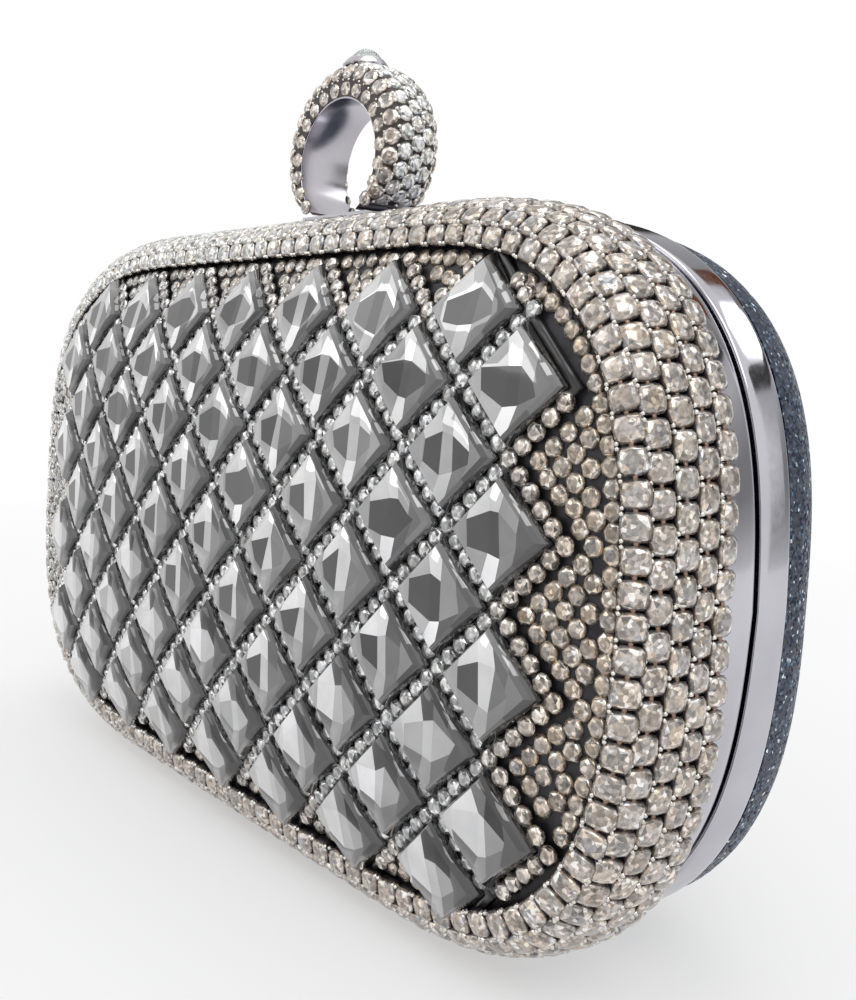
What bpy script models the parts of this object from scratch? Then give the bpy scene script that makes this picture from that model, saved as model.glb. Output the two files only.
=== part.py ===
"""Hard evening clutch: a two-part case with a stone-set front, hinged at the bottom, and a finger-ring clasp.

X runs along the bag, the front faces -Y and Z is up. The origin lies on the ground under the middle of the
parting plane, where the two metal frames meet.
"""
import math

import bmesh
import bpy
import numpy as np

MM = 0.001

# Case outline, at the widest part of the metal frames
CASE_HALF_WIDTH = 81.4 * MM
CASE_HALF_HEIGHT = 49.6 * MM
STRAIGHT_HALF = 33.0 * MM
END_POWER = 2.8
END_STEPS = 9
CURVE_STEPS = 400
SMOOTH_UNDER_DEGREES = 30.0

# Clearances and shared thicknesses
GAP = 0.3 * MM
CUT_OVERRUN = 1.5 * MM

# Metal frames
PARTING_GAP = 0.3 * MM
FRAME_WALL = 4.0 * MM
FRONT_FRAME_WIDTH = 8.15 * MM
BACK_FRAME_WIDTH = 5.6 * MM
PARTING_GROOVE = 1.7 * MM
FRAME_SECTION_SHARES = ((1.0, 0.0), (0.42, 0.11), (0.1, 0.25), (0.0, 0.4), (0.0, 0.94), (0.35, 1.0))

# Domed front: the panel is cut from a larger pillow
BAND_END_WIDTH = 4.3 * MM
BAND_SIDE_WIDTH = 6.1 * MM
PILLOW_END_REACH = 14.9 * MM
PILLOW_SIDE_REACH = 11.7 * MM
PILLOW_CROWN = 2.6 * MM
PILLOW_END_FALL = 5.0 * MM
PILLOW_SIDE_FALL = 19.9 * MM
PILLOW_SINK = 1.6 * MM

# Square stones set on their corners, with stone strips between them
LATTICE_DROP = 1.5 * MM
STONE_STEP = 8.75 * MM
STRIP_WIDTH = 2.2 * MM
GROOVE_WIDTH = 0.25 * MM
GROOVE_DEPTH = 1.3 * MM
LATTICE_WEB = 0.4 * MM
GLUE_LINE = 0.6 * MM
TABLE_SHARE = 0.45
TABLE_DROP = 0.1 * MM

# Claw-set rows round the band
ROW_COUNT = 5
BAND_STEPS = 60
BAND_RAISE = 0.6 * MM
BAND_POWER = 2.6
BAND_INSET = 0.35 * MM
ROW_GAP = 0.3 * MM
CROWN_HEIGHT = 0.9 * MM
CUP_DEPTH = 1.3 * MM
CLAW_PITCH = 3.85 * MM

# Shells, cover and linings
CARRIER_THICKNESS = 1.0 * MM
FRONT_SHELL_THICKNESS = 1.2 * MM
BACK_SHELL_THICKNESS = 0.6 * MM
LINING_THICKNESS = 0.8 * MM
COVER_THICKNESS = 0.8 * MM
BACK_EDGE_INSET = 1.2 * MM
FRONT_CORNER_POWER = 8.0
BACK_CORNER_POWER = 3.0
DOME_SHARES = (0.88, 0.7, 0.4)
LINING_SHARES = (0.97, 0.85, 0.5)
BACK_SHARES = (0.985, 0.93, 0.8, 0.55)
BACK_HIDDEN_SHARES = (0.985, 0.8, 0.55)

# Hinges under the case
HINGE_PLACE = 24.0 * MM
HINGE_LENGTH = 14.0 * MM
HINGE_HEIGHT = 1.75 * MM
KNUCKLE_RADIUS = 1.5 * MM
PIN_RADIUS = 0.5 * MM
HINGE_BLADE = 1.4 * MM
KNUCKLE_COUNT = 3
ROUND_SIDES = 12

# Finger ring, open at its foot
RING_SHIFT = -1.1 * MM
RING_HALF_DEPTH = 5.0 * MM
RING_BORE_RADIUS = 10.25 * MM
RING_BORE_HEIGHT = 10.2 * MM
RING_WALL = 5.95 * MM
RING_OUTER_HEIGHT = 10.75 * MM
RING_BASE_PINCH = 4.1 * MM
RING_PINCH_POWER = 6
RING_STEPS = 24
RING_SECTION_SHARES = ((0.0, -0.94), (0.0, 0.94), (0.12, 1.0), (0.5, 1.0), (0.5, -1.0), (0.12, -1.0))
PAVE_STONES = 24
PAVE_CROWN = 0.45 * MM
PAVE_SECTION_SHARES = ((0.58, -1.0), (0.82, -0.88), (0.97, -0.46), (1.0, 0.0), (0.97, 0.46), (0.82, 0.88),
                       (0.58, 1.0))

# Foot, pivot and latch of the ring
FOOT_THICKNESS = 1.3 * MM
FOOT_HALF_LENGTH = 8.8 * MM
FOOT_BEVEL = 0.6 * MM
PIVOT_DROP = 1.9 * MM
LUG_RADIUS = 1.3 * MM
LUG_WIDTH = 3.9 * MM
SADDLE_HALF_DEPTH = 1.75 * MM
SADDLE_FLOOR = 0.45 * MM
EAR_WIDTH = 1.4 * MM
EAR_HEIGHT = 1.3 * MM
SPRING_ROOM = 3.3 * MM
SPRING_WIRE = 0.44 * MM
SPRING_RADIUS = 1.1 * MM
SPRING_PITCH = 0.95 * MM
SPRING_TURNS = 2.5
SPRING_TURN_POINTS = 8
TONGUE_THICKNESS = 1.2 * MM
TONGUE_HALF_WIDTH = 4.0 * MM
TONGUE_LENGTH = 3.7 * MM
TONGUE_SETBACK = 1.5 * MM
STRIKE_WALL = 1.0 * MM
STRIKE_PLAY = 0.5 * MM

# Stone on top of the ring
COLLAR_SIDES = 20
COLLAR_RADIUS = 4.0 * MM
COLLAR_FOOT_RADIUS = 3.2 * MM
COLLAR_HEIGHT = 0.9 * MM
COLLAR_FLOOR = 0.4 * MM
COLLAR_LIP = 0.4 * MM
STONE_HEIGHT = 2.3 * MM
STONE_WAIST_SHARE = 0.58
STONE_TABLE_SHARE = 0.42

FRONT_SIGN, BACK_SIGN = -1, 1
CASE_TOP = 2.0 * CASE_HALF_HEIGHT
RING_OUTER_RADIUS = RING_BORE_RADIUS + RING_WALL
PANEL_HALF_WIDTH = CASE_HALF_WIDTH - BAND_END_WIDTH
PANEL_HALF_HEIGHT = CASE_HALF_HEIGHT - BAND_SIDE_WIDTH
PILLOW_HALF_WIDTH = CASE_HALF_WIDTH + PILLOW_END_REACH
PILLOW_HALF_HEIGHT = CASE_HALF_HEIGHT + PILLOW_SIDE_REACH
FRONT_EDGE = PARTING_GAP / 2 + FRONT_FRAME_WIDTH
BACK_EDGE = PARTING_GAP / 2 + BACK_FRAME_WIDTH
LATTICE_Z = CASE_HALF_HEIGHT - LATTICE_DROP
CASE_DEPTH = PILLOW_CROWN + PILLOW_END_FALL + PILLOW_SIDE_FALL - PILLOW_SINK
PLATE_DROP = GROOVE_DEPTH + LATTICE_WEB + GLUE_LINE
ROWS_ABOVE_MIDDLE = int(PANEL_HALF_HEIGHT / STONE_STEP)
LONG_ROW_STONES = int(PANEL_HALF_WIDTH / STONE_STEP)
SEAT_DROP = PLATE_DROP + CARRIER_THICKNESS + GAP
FOOT_TOP = GAP + FOOT_THICKNESS
PIVOT_Y = BACK_EDGE / 2
PIVOT_Z = CASE_TOP - PIVOT_DROP
TONGUE_Y = RING_SHIFT - RING_HALF_DEPTH + TONGUE_SETBACK


def finish(name, colour, roughness, metallic=0.0):
    """A plain material for one kind of piece."""
    material = bpy.data.materials.new(name)
    material.use_nodes = True
    shader = material.node_tree.nodes["Principled BSDF"]
    shader.inputs["Base Color"].default_value = (*colour, 1.0)
    shader.inputs["Roughness"].default_value = roughness
    shader.inputs["Metallic"].default_value = metallic
    return material


def add(name, mesh, material):
    """Put a bmesh into the scene as one named object, with its faces pointing out."""
    bmesh.ops.recalc_face_normals(mesh, faces=mesh.faces)
    data = bpy.data.meshes.new(name)
    mesh.to_mesh(data)
    mesh.free()
    data.materials.append(material)
    data.shade_smooth()
    data.set_sharp_from_angle(angle=math.radians(SMOOTH_UNDER_DEGREES))
    piece = bpy.data.objects.new(name, data)
    bpy.context.scene.collection.objects.link(piece)
    return piece


def combine(piece, tool, operation="DIFFERENCE"):
    """Cut a hidden tool from a piece, or join it on."""
    tool.hide_render = True
    tool.display_type = "WIRE"
    modifier = piece.modifiers.new(tool.name, "BOOLEAN")
    modifier.operation = operation
    modifier.object = tool
    return piece


def loft(name, rings, material, wrap=False):
    """Join rings of points in turn; wrap joins the last to the first, and a ring of one point is a pole."""
    mesh = bmesh.new()
    loops = [[mesh.verts.new(point) for point in ring] for ring in rings]
    if wrap:
        loops.append(loops[0])
    for near, far in zip(loops, loops[1:]):
        count = max(len(near), len(far))
        for i in range(count):
            j = (i + 1) % count
            corners = [near[i % len(near)], near[j % len(near)], far[j % len(far)], far[i % len(far)]]
            mesh.faces.new(list(dict.fromkeys(corners)))
    return add(name, mesh, material)


def prism(name, profile, left, right, material):
    """Extrude a profile of (y, z) points along X from left to right."""
    mesh = bmesh.new()
    near = [mesh.verts.new((left, y, z)) for y, z in profile]
    face = mesh.faces.new(near)
    swept = bmesh.ops.extrude_face_region(mesh, geom=[face])["geom"]
    moved = [item for item in swept if isinstance(item, bmesh.types.BMVert)]
    bmesh.ops.translate(mesh, verts=moved, vec=(right - left, 0.0, 0.0))
    return add(name, mesh, material)


def block(name, low, high, material):
    """A box between two (x, y, z) corners."""
    profile = ((low[1], low[2]), (high[1], low[2]), (high[1], high[2]), (low[1], high[2]))
    return prism(name, profile, low[0], high[0], material)


def rod(name, radius, left, right, y, z, material):
    """A round bar along X."""
    turn = 2.0 * math.pi / ROUND_SIDES
    profile = [(y + radius * math.cos(turn * i), z + radius * math.sin(turn * i)) for i in range(ROUND_SIDES)]
    return prism(name, profile, left, right, material)


def turned(name, profile, x, y, material):
    """Revolve a profile of (radius, z) points about an upright axis; it starts and ends on the axis."""
    turn = 2.0 * math.pi / COLLAR_SIDES
    rings = []
    for radius, z in profile:
        sides = COLLAR_SIDES if radius > 0.0 else 1
        angles = [turn * i for i in range(sides)]
        rings.append([(x + radius * math.cos(angle), y + radius * math.sin(angle), z) for angle in angles])
    return loft(name, rings, material)


def even_steps(curve, count):
    """Points at equal distances along a polyline, ends included."""
    lengths = np.concatenate(([0.0], np.cumsum(np.linalg.norm(np.diff(curve, axis=0), axis=1))))
    wanted = np.linspace(0.0, lengths[-1], count + 1)
    return np.stack([np.interp(wanted, lengths, column) for column in curve.T], axis=1)


def quarter_curve():
    """A quarter of the case's rounded end, from the side to the top, as a fine polyline."""
    angle = np.linspace(0.0, math.pi / 2, CURVE_STEPS)
    shares = np.stack([np.cos(angle), np.sin(angle)], axis=1).clip(0.0) ** (2.0 / END_POWER)
    return shares * np.array([CASE_HALF_WIDTH - STRAIGHT_HALF, CASE_HALF_HEIGHT])


def quarter_length():
    """Length of that quarter."""
    return np.linalg.norm(np.diff(quarter_curve(), axis=0), axis=1).sum()


def stations(end_steps, run_steps):
    """Places round the outline, as shares (run, end, rise) of its straight run, rounded end and height."""
    quarter = even_steps(quarter_curve(), end_steps) / quarter_curve().max(axis=0)
    rising, falling = quarter[:-1], quarter[::-1][:-1]
    run = np.linspace(1.0, -1.0, run_steps + 1)[:-1]
    path = [(1, end, rise) for end, rise in rising]
    path += [(share, 0.0, 1.0) for share in run]
    path += [(-1, -end, rise) for end, rise in falling]
    path += [(-1, -end, -rise) for end, rise in rising]
    path += [(-share, 0.0, -1.0) for share in run]
    path += [(1, end, -rise) for end, rise in falling]
    return np.array(path)


def outline(path, half_width, half_height, centre, share):
    """X and Z of an outline at every station, drawn in towards its centre by a share."""
    run, end, rise = path.T
    x = run * STRAIGHT_HALF + end * (half_width - STRAIGHT_HALF)
    return share * x, centre + share * rise * half_height


def case_outline(path, inset=0.0, share=1.0):
    """The frames' outline, or one that lies inside it by an inset."""
    return outline(path, CASE_HALF_WIDTH - inset, CASE_HALF_HEIGHT - inset, CASE_HALF_HEIGHT, share)


def panel_outline(path, inset=0.0, share=1.0):
    """The band's inner edge, which bounds the domed panel, or a line inside it."""
    return outline(path, PANEL_HALF_WIDTH - inset, PANEL_HALF_HEIGHT - inset, LATTICE_Z, share)


def pillow(x, z):
    """Distance of the stones' crests in front of the parting plane."""
    across = x / PILLOW_HALF_WIDTH
    up = (z - LATTICE_Z) / PILLOW_HALF_HEIGHT
    crown = PILLOW_CROWN * (1.0 - across ** 2) * (1.0 - up ** 2)
    return crown + PILLOW_END_FALL * (1.0 - across ** 4) + PILLOW_SIDE_FALL * (1.0 - up ** 4) - PILLOW_SINK


def points(x, y, z):
    """Rows of (x, y, z)."""
    return np.stack(np.broadcast_arrays(x, y, z), axis=1)


def frame(name, side, width, material):
    """One metal frame: its rounded section carried round the outline."""
    edge = PARTING_GAP / 2
    section = [(PARTING_GROOVE * inset, edge + width * share) for inset, share in FRAME_SECTION_SHARES]
    section += [(FRAME_WALL, edge + width), (FRAME_WALL, edge)]
    rings = []
    for inset, depth in section:
        x, z = case_outline(CASE_PATH, inset)
        rings.append(points(x, side * depth, z))
    return loft(name, rings, material, wrap=True)


def bowl_rings(side, inset, rim, floor, power, shares):
    """Rings of a rounded bowl from its rim to the middle of its floor."""
    rings = []
    for share in (1.0, *shares):
        x, z = case_outline(CASE_PATH, inset, share)
        fall = (1.0 - share ** power) ** (1.0 / power)
        rings.append(points(x, side * (rim + (floor(x, z) - rim) * fall), z))
    rings.append([(0.0, side * floor(0.0, CASE_HALF_HEIGHT), CASE_HALF_HEIGHT)])
    return rings


def front_floor(drop):
    """Floor of a front layer that lies below the stones' crests by a drop."""
    return lambda x, z: pillow(x, z) - drop


def back_floor(drop):
    """Floor of a back layer; the back is as deep as the front."""
    return lambda x, z: (CASE_DEPTH - drop) + 0.0 * x


def band_rows(path):
    """Edges, middles and normals of the claw rows, from the panel's edge out to the frame.

    The band's section is a quarter of a superellipse, cut into rows of equal width.
    """
    angle = np.linspace(math.pi / 2, 0.0, BAND_STEPS)
    out = np.cos(angle).clip(0.0) ** (2.0 / BAND_POWER)
    deep = np.sin(angle).clip(0.0) ** (2.0 / BAND_POWER)
    inner_x, inner_z = panel_outline(path)
    outer_x, outer_z = case_outline(path, BAND_INSET)
    near = FRONT_EDGE + GAP
    far = pillow(inner_x, inner_z) + BAND_RAISE
    edges = []
    for i in range(len(path)):
        x = inner_x[i] + (outer_x[i] - inner_x[i]) * out
        z = inner_z[i] + (outer_z[i] - inner_z[i]) * out
        edges.append(even_steps(points(x, -(near + (far[i] - near) * deep), z), ROW_COUNT))
    edges = np.swapaxes(np.array(edges), 0, 1)
    across = unit(np.gradient(edges, axis=0))
    along = unit(np.roll(edges, -1, axis=1) - np.roll(edges, 1, axis=1))
    normals = unit(np.cross(across, along))
    middles = (edges[:-1] + edges[1:]) / 2
    row_normals = unit(np.cross(edges[1:] - edges[:-1], along[:-1]))
    return edges, normals, middles, row_normals


def unit(vectors):
    """Vectors brought to length one."""
    return vectors / np.linalg.norm(vectors, axis=-1, keepdims=True)


def claw_rows(material):
    """Five closed chains: a V-shaped cup strip with a pointed stone on every step."""
    path = stations(round(quarter_length() / CLAW_PITCH), round(2.0 * STRAIGHT_HALF / CLAW_PITCH))
    edges, normals, middles, row_normals = band_rows(path)
    for row in range(ROW_COUNT):
        width = unit(edges[row + 1] - edges[row]) * ROW_GAP / 2
        inner = edges[row] + width - normals[row] * CROWN_HEIGHT
        outer = edges[row + 1] - width - normals[row + 1] * CROWN_HEIGHT
        keel = middles[row] - row_normals[row] * (CROWN_HEIGHT + CUP_DEPTH)
        tip = (middles[row] + np.roll(middles[row], -1, axis=0)) / 2
        mesh = bmesh.new()
        ring = [[mesh.verts.new(point) for point in line] for line in (inner, outer, keel, tip)]
        for i in range(len(path)):
            j = (i + 1) % len(path)
            (a, b, k, t), (c, d, m) = [line[i] for line in ring], [line[j] for line in ring[:3]]
            for face in ((a, b, t), (b, d, t), (d, c, t), (c, a, t), (a, c, m, k), (b, k, m, d)):
                mesh.faces.new(face)
        add(f"claw_row_{row + 1}", mesh, material)


def front_shell(material):
    """Moulded front: the carrier's seat, then a rounded edge whose outside follows the cups' keels."""
    _, _, middles, normals = band_rows(CASE_PATH)
    keel_drop = CROWN_HEIGHT + CUP_DEPTH + GAP
    seats = [middles[row] - normals[row] * keel_drop for row in (ROW_COUNT - 1, 1, 0)]
    rim = seats[0].copy()
    rim[:, 1] = -(FRONT_EDGE + GAP)
    rings = [rim, *seats]
    for share in (1.0, *DOME_SHARES):
        x, z = panel_outline(CASE_PATH, 0.0, share)
        rings.append(points(x, -(pillow(x, z) - SEAT_DROP), z))
    rings.append([(0.0, -(pillow(0.0, LATTICE_Z) - SEAT_DROP), LATTICE_Z)])
    floor = front_floor(SEAT_DROP + FRONT_SHELL_THICKNESS)
    inside = bowl_rings(FRONT_SIGN, FRAME_WALL, FRONT_EDGE + GAP, floor, FRONT_CORNER_POWER, LINING_SHARES)
    return loft("front_shell", rings[::-1] + inside, material)


def layer(name, side, outer, inner, power, shares, material):
    """A bowl-shaped layer between an outer and an inner surface, each given as (inset, rim, floor)."""
    outside = bowl_rings(side, *outer, power, shares)
    inside = bowl_rings(side, *inner, power, shares)
    return loft(name, outside[::-1] + inside, material)


def stone_cells():
    """Places (i, j) of the square stones, in half steps of the lattice, long and short rows in turn."""
    for j in range(-ROWS_ABOVE_MIDDLE, ROWS_ABOVE_MIDDLE + 1):
        count = LONG_ROW_STONES - (j + ROWS_ABOVE_MIDDLE + 1) % 2
        for i in range(1 - count, count, 2):
            yield i, j


def stone_lattice(material):
    """Square stones with bevelled crowns in a lattice of raised strips, as one thin sheet."""
    mesh = bmesh.new()
    strip = 1.0 - STRIP_WIDTH / (STONE_STEP * math.sqrt(2.0))
    girdle = strip - GROOVE_WIDTH / (STONE_STEP * math.sqrt(2.0))
    turns = ((1, 0), (0, 1), (-1, 0), (0, -1))
    corners = {}

    def vertex(i, j, drop):
        x, z = i * STONE_STEP, LATTICE_Z + j * STONE_STEP
        return mesh.verts.new((x, -(pillow(x, z) - drop), z))

    def corner(i, j):
        if (i, j) not in corners:
            corners[i, j] = vertex(i, j, 0.0), vertex(i, j, GROOVE_DEPTH + LATTICE_WEB)
        return corners[i, j]

    sides = {}
    for i, j in stone_cells():
        around = [corner(i + dx, j + dz) for dx, dz in turns]
        rings = [[top for top, _ in around]]
        for share, drop in ((strip, 0.0), (girdle, GROOVE_DEPTH), (TABLE_SHARE, TABLE_DROP)):
            rings.append([vertex(i + share * dx, j + share * dz, drop) for dx, dz in turns])
        for near, far in zip(rings, rings[1:]):
            for k in range(4):
                mesh.faces.new((near[k - 1], near[k], far[k], far[k - 1]))
        mesh.faces.new(rings[-1])
        under = vertex(i, j, GROOVE_DEPTH + LATTICE_WEB)
        for k in range(4):
            mesh.faces.new((around[k][1], around[k - 1][1], under))
        for k in range(4):
            pair = frozenset((around[k - 1], around[k]))
            sides[pair] = sides.get(pair, 0) + 1
    for pair, uses in sides.items():
        if uses == 1:
            (top, bottom), (next_top, next_bottom) = pair
            mesh.faces.new((top, next_top, next_bottom, bottom))
    lattice = add("stone_lattice", mesh, material)
    x, z = panel_outline(CASE_PATH, GAP)
    near, far = points(x, 0.0, z), points(x, -2.0 * CASE_DEPTH, z)
    trim = loft("lattice_trim", [[(0.0, 0.0, LATTICE_Z)], near, far, [(0.0, -2.0 * CASE_DEPTH, LATTICE_Z)]],
                material)
    return combine(lattice, trim, "INTERSECT")


def stone_carrier(material):
    """Domed plate under the stones, to the band's inner edge."""
    rings = {}
    for drop in (PLATE_DROP, PLATE_DROP + CARRIER_THICKNESS):
        rings[drop] = []
        for share in (1.0, *DOME_SHARES):
            x, z = panel_outline(CASE_PATH, GAP, share)
            rings[drop].append(points(x, -(pillow(x, z) - drop), z))
        rings[drop].append([(0.0, -(pillow(0.0, LATTICE_Z) - drop), LATTICE_Z)])
    front, back = rings.values()
    return loft("stone_carrier", front[::-1] + back, material)


def hinge(side_name, x, steel):
    """A small butt hinge: the front leaf has the middle knuckle and the back leaf the outer two."""
    half = HINGE_LENGTH / 2
    knuckle = (HINGE_LENGTH - (KNUCKLE_COUNT - 1) * GAP) / KNUCKLE_COUNT
    starts = [x - half + i * (knuckle + GAP) for i in range(KNUCKLE_COUNT)]
    blade_near = KNUCKLE_RADIUS + GAP
    leaves = {"front": (FRONT_SIGN, starts[1:2]), "back": (BACK_SIGN, starts[::2])}
    for leaf_name, (side, knuckles) in leaves.items():
        name = f"hinge_{side_name}_{leaf_name}_leaf"
        low_y, high_y = sorted((side * blade_near, side * (blade_near + HINGE_BLADE)))
        leaf = block(name, (x - half, low_y, GAP), (x + half, high_y, FRAME_WALL), steel)
        for i, start in enumerate(knuckles):
            end = start + knuckle
            barrel = rod(f"{name}_barrel_{i}", KNUCKLE_RADIUS, start, end, 0.0, HINGE_HEIGHT, steel)
            web_low, web_high = sorted((0.0, side * (blade_near + HINGE_BLADE / 2)))
            web = block(f"{name}_web_{i}", (start, web_low, HINGE_HEIGHT - KNUCKLE_RADIUS / 2),
                        (end, web_high, HINGE_HEIGHT + KNUCKLE_RADIUS / 2), steel)
            combine(leaf, web, "UNION")
            combine(leaf, barrel, "UNION")
        bore = rod(f"{name}_bore", PIN_RADIUS + GAP, x - half - CUT_OVERRUN, x + half + CUT_OVERRUN, 0.0,
                   HINGE_HEIGHT, steel)
        combine(leaf, bore)
    rod(f"hinge_{side_name}_pin", PIN_RADIUS, x - half, x + half, 0.0, HINGE_HEIGHT, steel)


def hinge_pocket(piece, side, x):
    """Notch in a frame's parting face for one half of a hinge."""
    half = HINGE_LENGTH / 2 + GAP
    deep = KNUCKLE_RADIUS + GAP + HINGE_BLADE + GAP
    low_y, high_y = sorted((-side * CUT_OVERRUN, side * deep))
    tool = block(f"{piece.name}_hinge_pocket", (x - half, low_y, -CUT_OVERRUN),
                 (x + half, high_y, FRAME_WALL + CUT_OVERRUN), piece.data.materials[0])
    combine(piece, tool)


def ring_wall(path_share, radial_share, depth_share):
    """A point of the ring's wall, between its round bore and horseshoe outside, both cut off at the foot."""
    base_radius = RING_OUTER_RADIUS - RING_BASE_PINCH
    bore = path_share * math.acos((FOOT_TOP + GAP - RING_BORE_HEIGHT) / RING_BORE_RADIUS)
    outer = path_share * math.acos((FOOT_TOP + GAP - RING_OUTER_HEIGHT) / base_radius)
    radius = RING_OUTER_RADIUS - RING_BASE_PINCH * abs(path_share) ** RING_PINCH_POWER
    inner_x, inner_z = RING_BORE_RADIUS * math.sin(bore), RING_BORE_HEIGHT + RING_BORE_RADIUS * math.cos(bore)
    outer_x, outer_z = radius * math.sin(outer), RING_OUTER_HEIGHT + radius * math.cos(outer)
    x = inner_x + (outer_x - inner_x) * radial_share
    z = inner_z + (outer_z - inner_z) * radial_share
    return x, RING_SHIFT + RING_HALF_DEPTH * depth_share, CASE_TOP + z


def ring_sections(section, steps):
    """Sections of the ring from one end of the horseshoe to the other."""
    return [[ring_wall(2.0 * step / steps - 1.0, *shares) for shares in section] for step in range(steps + 1)]


def ring_band(material):
    """The polished inner part of the finger ring."""
    mesh = bmesh.new()
    sections = ring_sections(RING_SECTION_SHARES, RING_STEPS)
    loops = [[mesh.verts.new(point) for point in section] for section in sections]
    for near, far in zip(loops, loops[1:]):
        for i in range(len(near)):
            mesh.faces.new((near[i - 1], near[i], far[i], far[i - 1]))
    mesh.faces.new(loops[0])
    mesh.faces.new(loops[-1][::-1])
    return add("ring_band", mesh, material)


def ring_pave(material):
    """The stone-set outside of the ring: a domed strip with a pointed stone in every field."""
    grid = np.array(ring_sections(PAVE_SECTION_SHARES, PAVE_STONES))
    centres = (grid[:-1, :-1] + grid[1:, :-1] + grid[1:, 1:] + grid[:-1, 1:]) / 4
    normals = unit(np.cross(grid[1:, 1:] - grid[:-1, :-1], grid[:-1, 1:] - grid[1:, :-1]))
    middle = np.array((0.0, RING_SHIFT, CASE_TOP + RING_BORE_HEIGHT))
    outward = np.sign(np.sum(normals * (centres - middle), axis=-1, keepdims=True))
    tips = centres + normals * outward * PAVE_CROWN
    mesh = bmesh.new()
    loops = [[mesh.verts.new(point) for point in section] for section in grid]
    for step, line in enumerate(tips):
        near, far = loops[step], loops[step + 1]
        for field, point in enumerate(line):
            tip = mesh.verts.new(point)
            corners = (near[field], near[field + 1], far[field + 1], far[field])
            for k in range(4):
                mesh.faces.new((corners[k - 1], corners[k], tip))
        mesh.faces.new((near[0], far[0], far[-1], near[-1]))
    mesh.faces.new(loops[0])
    mesh.faces.new(loops[-1][::-1])
    return add("ring_pave", mesh, material)


def ring_foot(material):
    """Plate under the ring with the pivot lug; its back edge is bevelled to let the ring tilt."""
    low, high = CASE_TOP + GAP, CASE_TOP + FOOT_TOP
    front, back = RING_SHIFT - RING_HALF_DEPTH, RING_SHIFT + RING_HALF_DEPTH
    profile = ((front, low), (PIVOT_Y, low), (back, low + FOOT_BEVEL), (back, high), (front, high))
    foot = prism("ring_foot", profile, -FOOT_HALF_LENGTH, FOOT_HALF_LENGTH, material)
    left = -(LUG_WIDTH + SPRING_ROOM) / 2
    neck = block("ring_foot_neck", (left, PIVOT_Y - LUG_RADIUS, PIVOT_Z),
                 (left + LUG_WIDTH, PIVOT_Y + LUG_RADIUS / 2, low + FOOT_THICKNESS / 2), material)
    lug = rod("ring_foot_lug", LUG_RADIUS, left, left + LUG_WIDTH, PIVOT_Y, PIVOT_Z, material)
    bore = rod("ring_foot_bore", PIN_RADIUS + GAP, left - CUT_OVERRUN, left + LUG_WIDTH + CUT_OVERRUN,
               PIVOT_Y, PIVOT_Z, material)
    combine(foot, neck, "UNION")
    combine(foot, lug, "UNION")
    return combine(foot, bore)


def saddle_half_width():
    """Half the width of the saddle: lug, spring and two ears side by side, each with its clearance."""
    return (LUG_WIDTH + SPRING_ROOM) / 2 + GAP + EAR_WIDTH


def ring_saddle(material):
    """U-shaped bearing let into the back frame, with an ear at each end for the pivot pin."""
    half = saddle_half_width()
    inside = half - EAR_WIDTH
    floor = CASE_TOP - FRAME_WALL
    top = PIVOT_Z + EAR_HEIGHT
    low_y, high_y = PIVOT_Y - SADDLE_HALF_DEPTH, PIVOT_Y + SADDLE_HALF_DEPTH
    saddle = block("ring_saddle", (-half, low_y, floor), (half, high_y, top), material)
    room = block("ring_saddle_room", (-inside, low_y - CUT_OVERRUN, floor + SADDLE_FLOOR),
                 (inside, high_y + CUT_OVERRUN, top + CUT_OVERRUN), material)
    bore = rod("ring_saddle_bore", PIN_RADIUS + GAP, -half - CUT_OVERRUN, half + CUT_OVERRUN,
               PIVOT_Y, PIVOT_Z, material)
    combine(saddle, room)
    return combine(saddle, bore)


def saddle_pocket(piece):
    """Pocket in the back frame for the saddle."""
    half = saddle_half_width() + GAP
    deep = SADDLE_HALF_DEPTH + GAP
    tool = block("saddle_pocket", (-half, PIVOT_Y - deep, CASE_TOP - FRAME_WALL - CUT_OVERRUN),
                 (half, PIVOT_Y + deep, CASE_TOP + CUT_OVERRUN), piece.data.materials[0])
    combine(piece, tool)


def ring_spring(material):
    """Torsion spring wound round the pivot pin beside the lug."""
    start = (LUG_WIDTH - SPRING_ROOM) / 2 + SPRING_WIRE
    steps = round(SPRING_TURNS * SPRING_TURN_POINTS)
    curve = bpy.data.curves.new("ring_spring", "CURVE")
    curve.dimensions = "3D"
    curve.bevel_depth = SPRING_WIRE / 2
    curve.bevel_resolution = 1
    curve.use_fill_caps = True
    line = curve.splines.new("POLY")
    line.points.add(steps)
    for i, point in enumerate(line.points):
        angle = 2.0 * math.pi * i / SPRING_TURN_POINTS
        x = start + SPRING_PITCH * i / SPRING_TURN_POINTS
        y, z = PIVOT_Y + SPRING_RADIUS * math.cos(angle), PIVOT_Z + SPRING_RADIUS * math.sin(angle)
        point.co = (x, y, z, 1.0)
    print(f"ring_spring: least gap between turns {(SPRING_PITCH - SPRING_WIRE) / MM:.2f} mm")
    curve.materials.append(material)
    spring = bpy.data.objects.new("ring_spring", curve)
    bpy.context.scene.collection.objects.link(spring)
    return spring


def latch(steel):
    """Tongue under the ring's foot, and the strike plate in the front frame that it drops into."""
    low = CASE_TOP - TONGUE_LENGTH
    block("latch_tongue", (-TONGUE_HALF_WIDTH, TONGUE_Y, low),
          (TONGUE_HALF_WIDTH, TONGUE_Y + TONGUE_THICKNESS, CASE_TOP), steel)
    inside = TONGUE_HALF_WIDTH + GAP
    front = TONGUE_Y - STRIKE_PLAY
    top = CASE_TOP - PARTING_GROOVE - GAP
    near = -PARTING_GAP / 2
    strike = block("strike_plate", (-inside - STRIKE_WALL, front - STRIKE_WALL, low),
                   (inside + STRIKE_WALL, near, top), steel)
    channel = block("strike_channel", (-inside, front, low - CUT_OVERRUN),
                    (inside, near + CUT_OVERRUN, top + CUT_OVERRUN), steel)
    combine(strike, channel)


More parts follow.
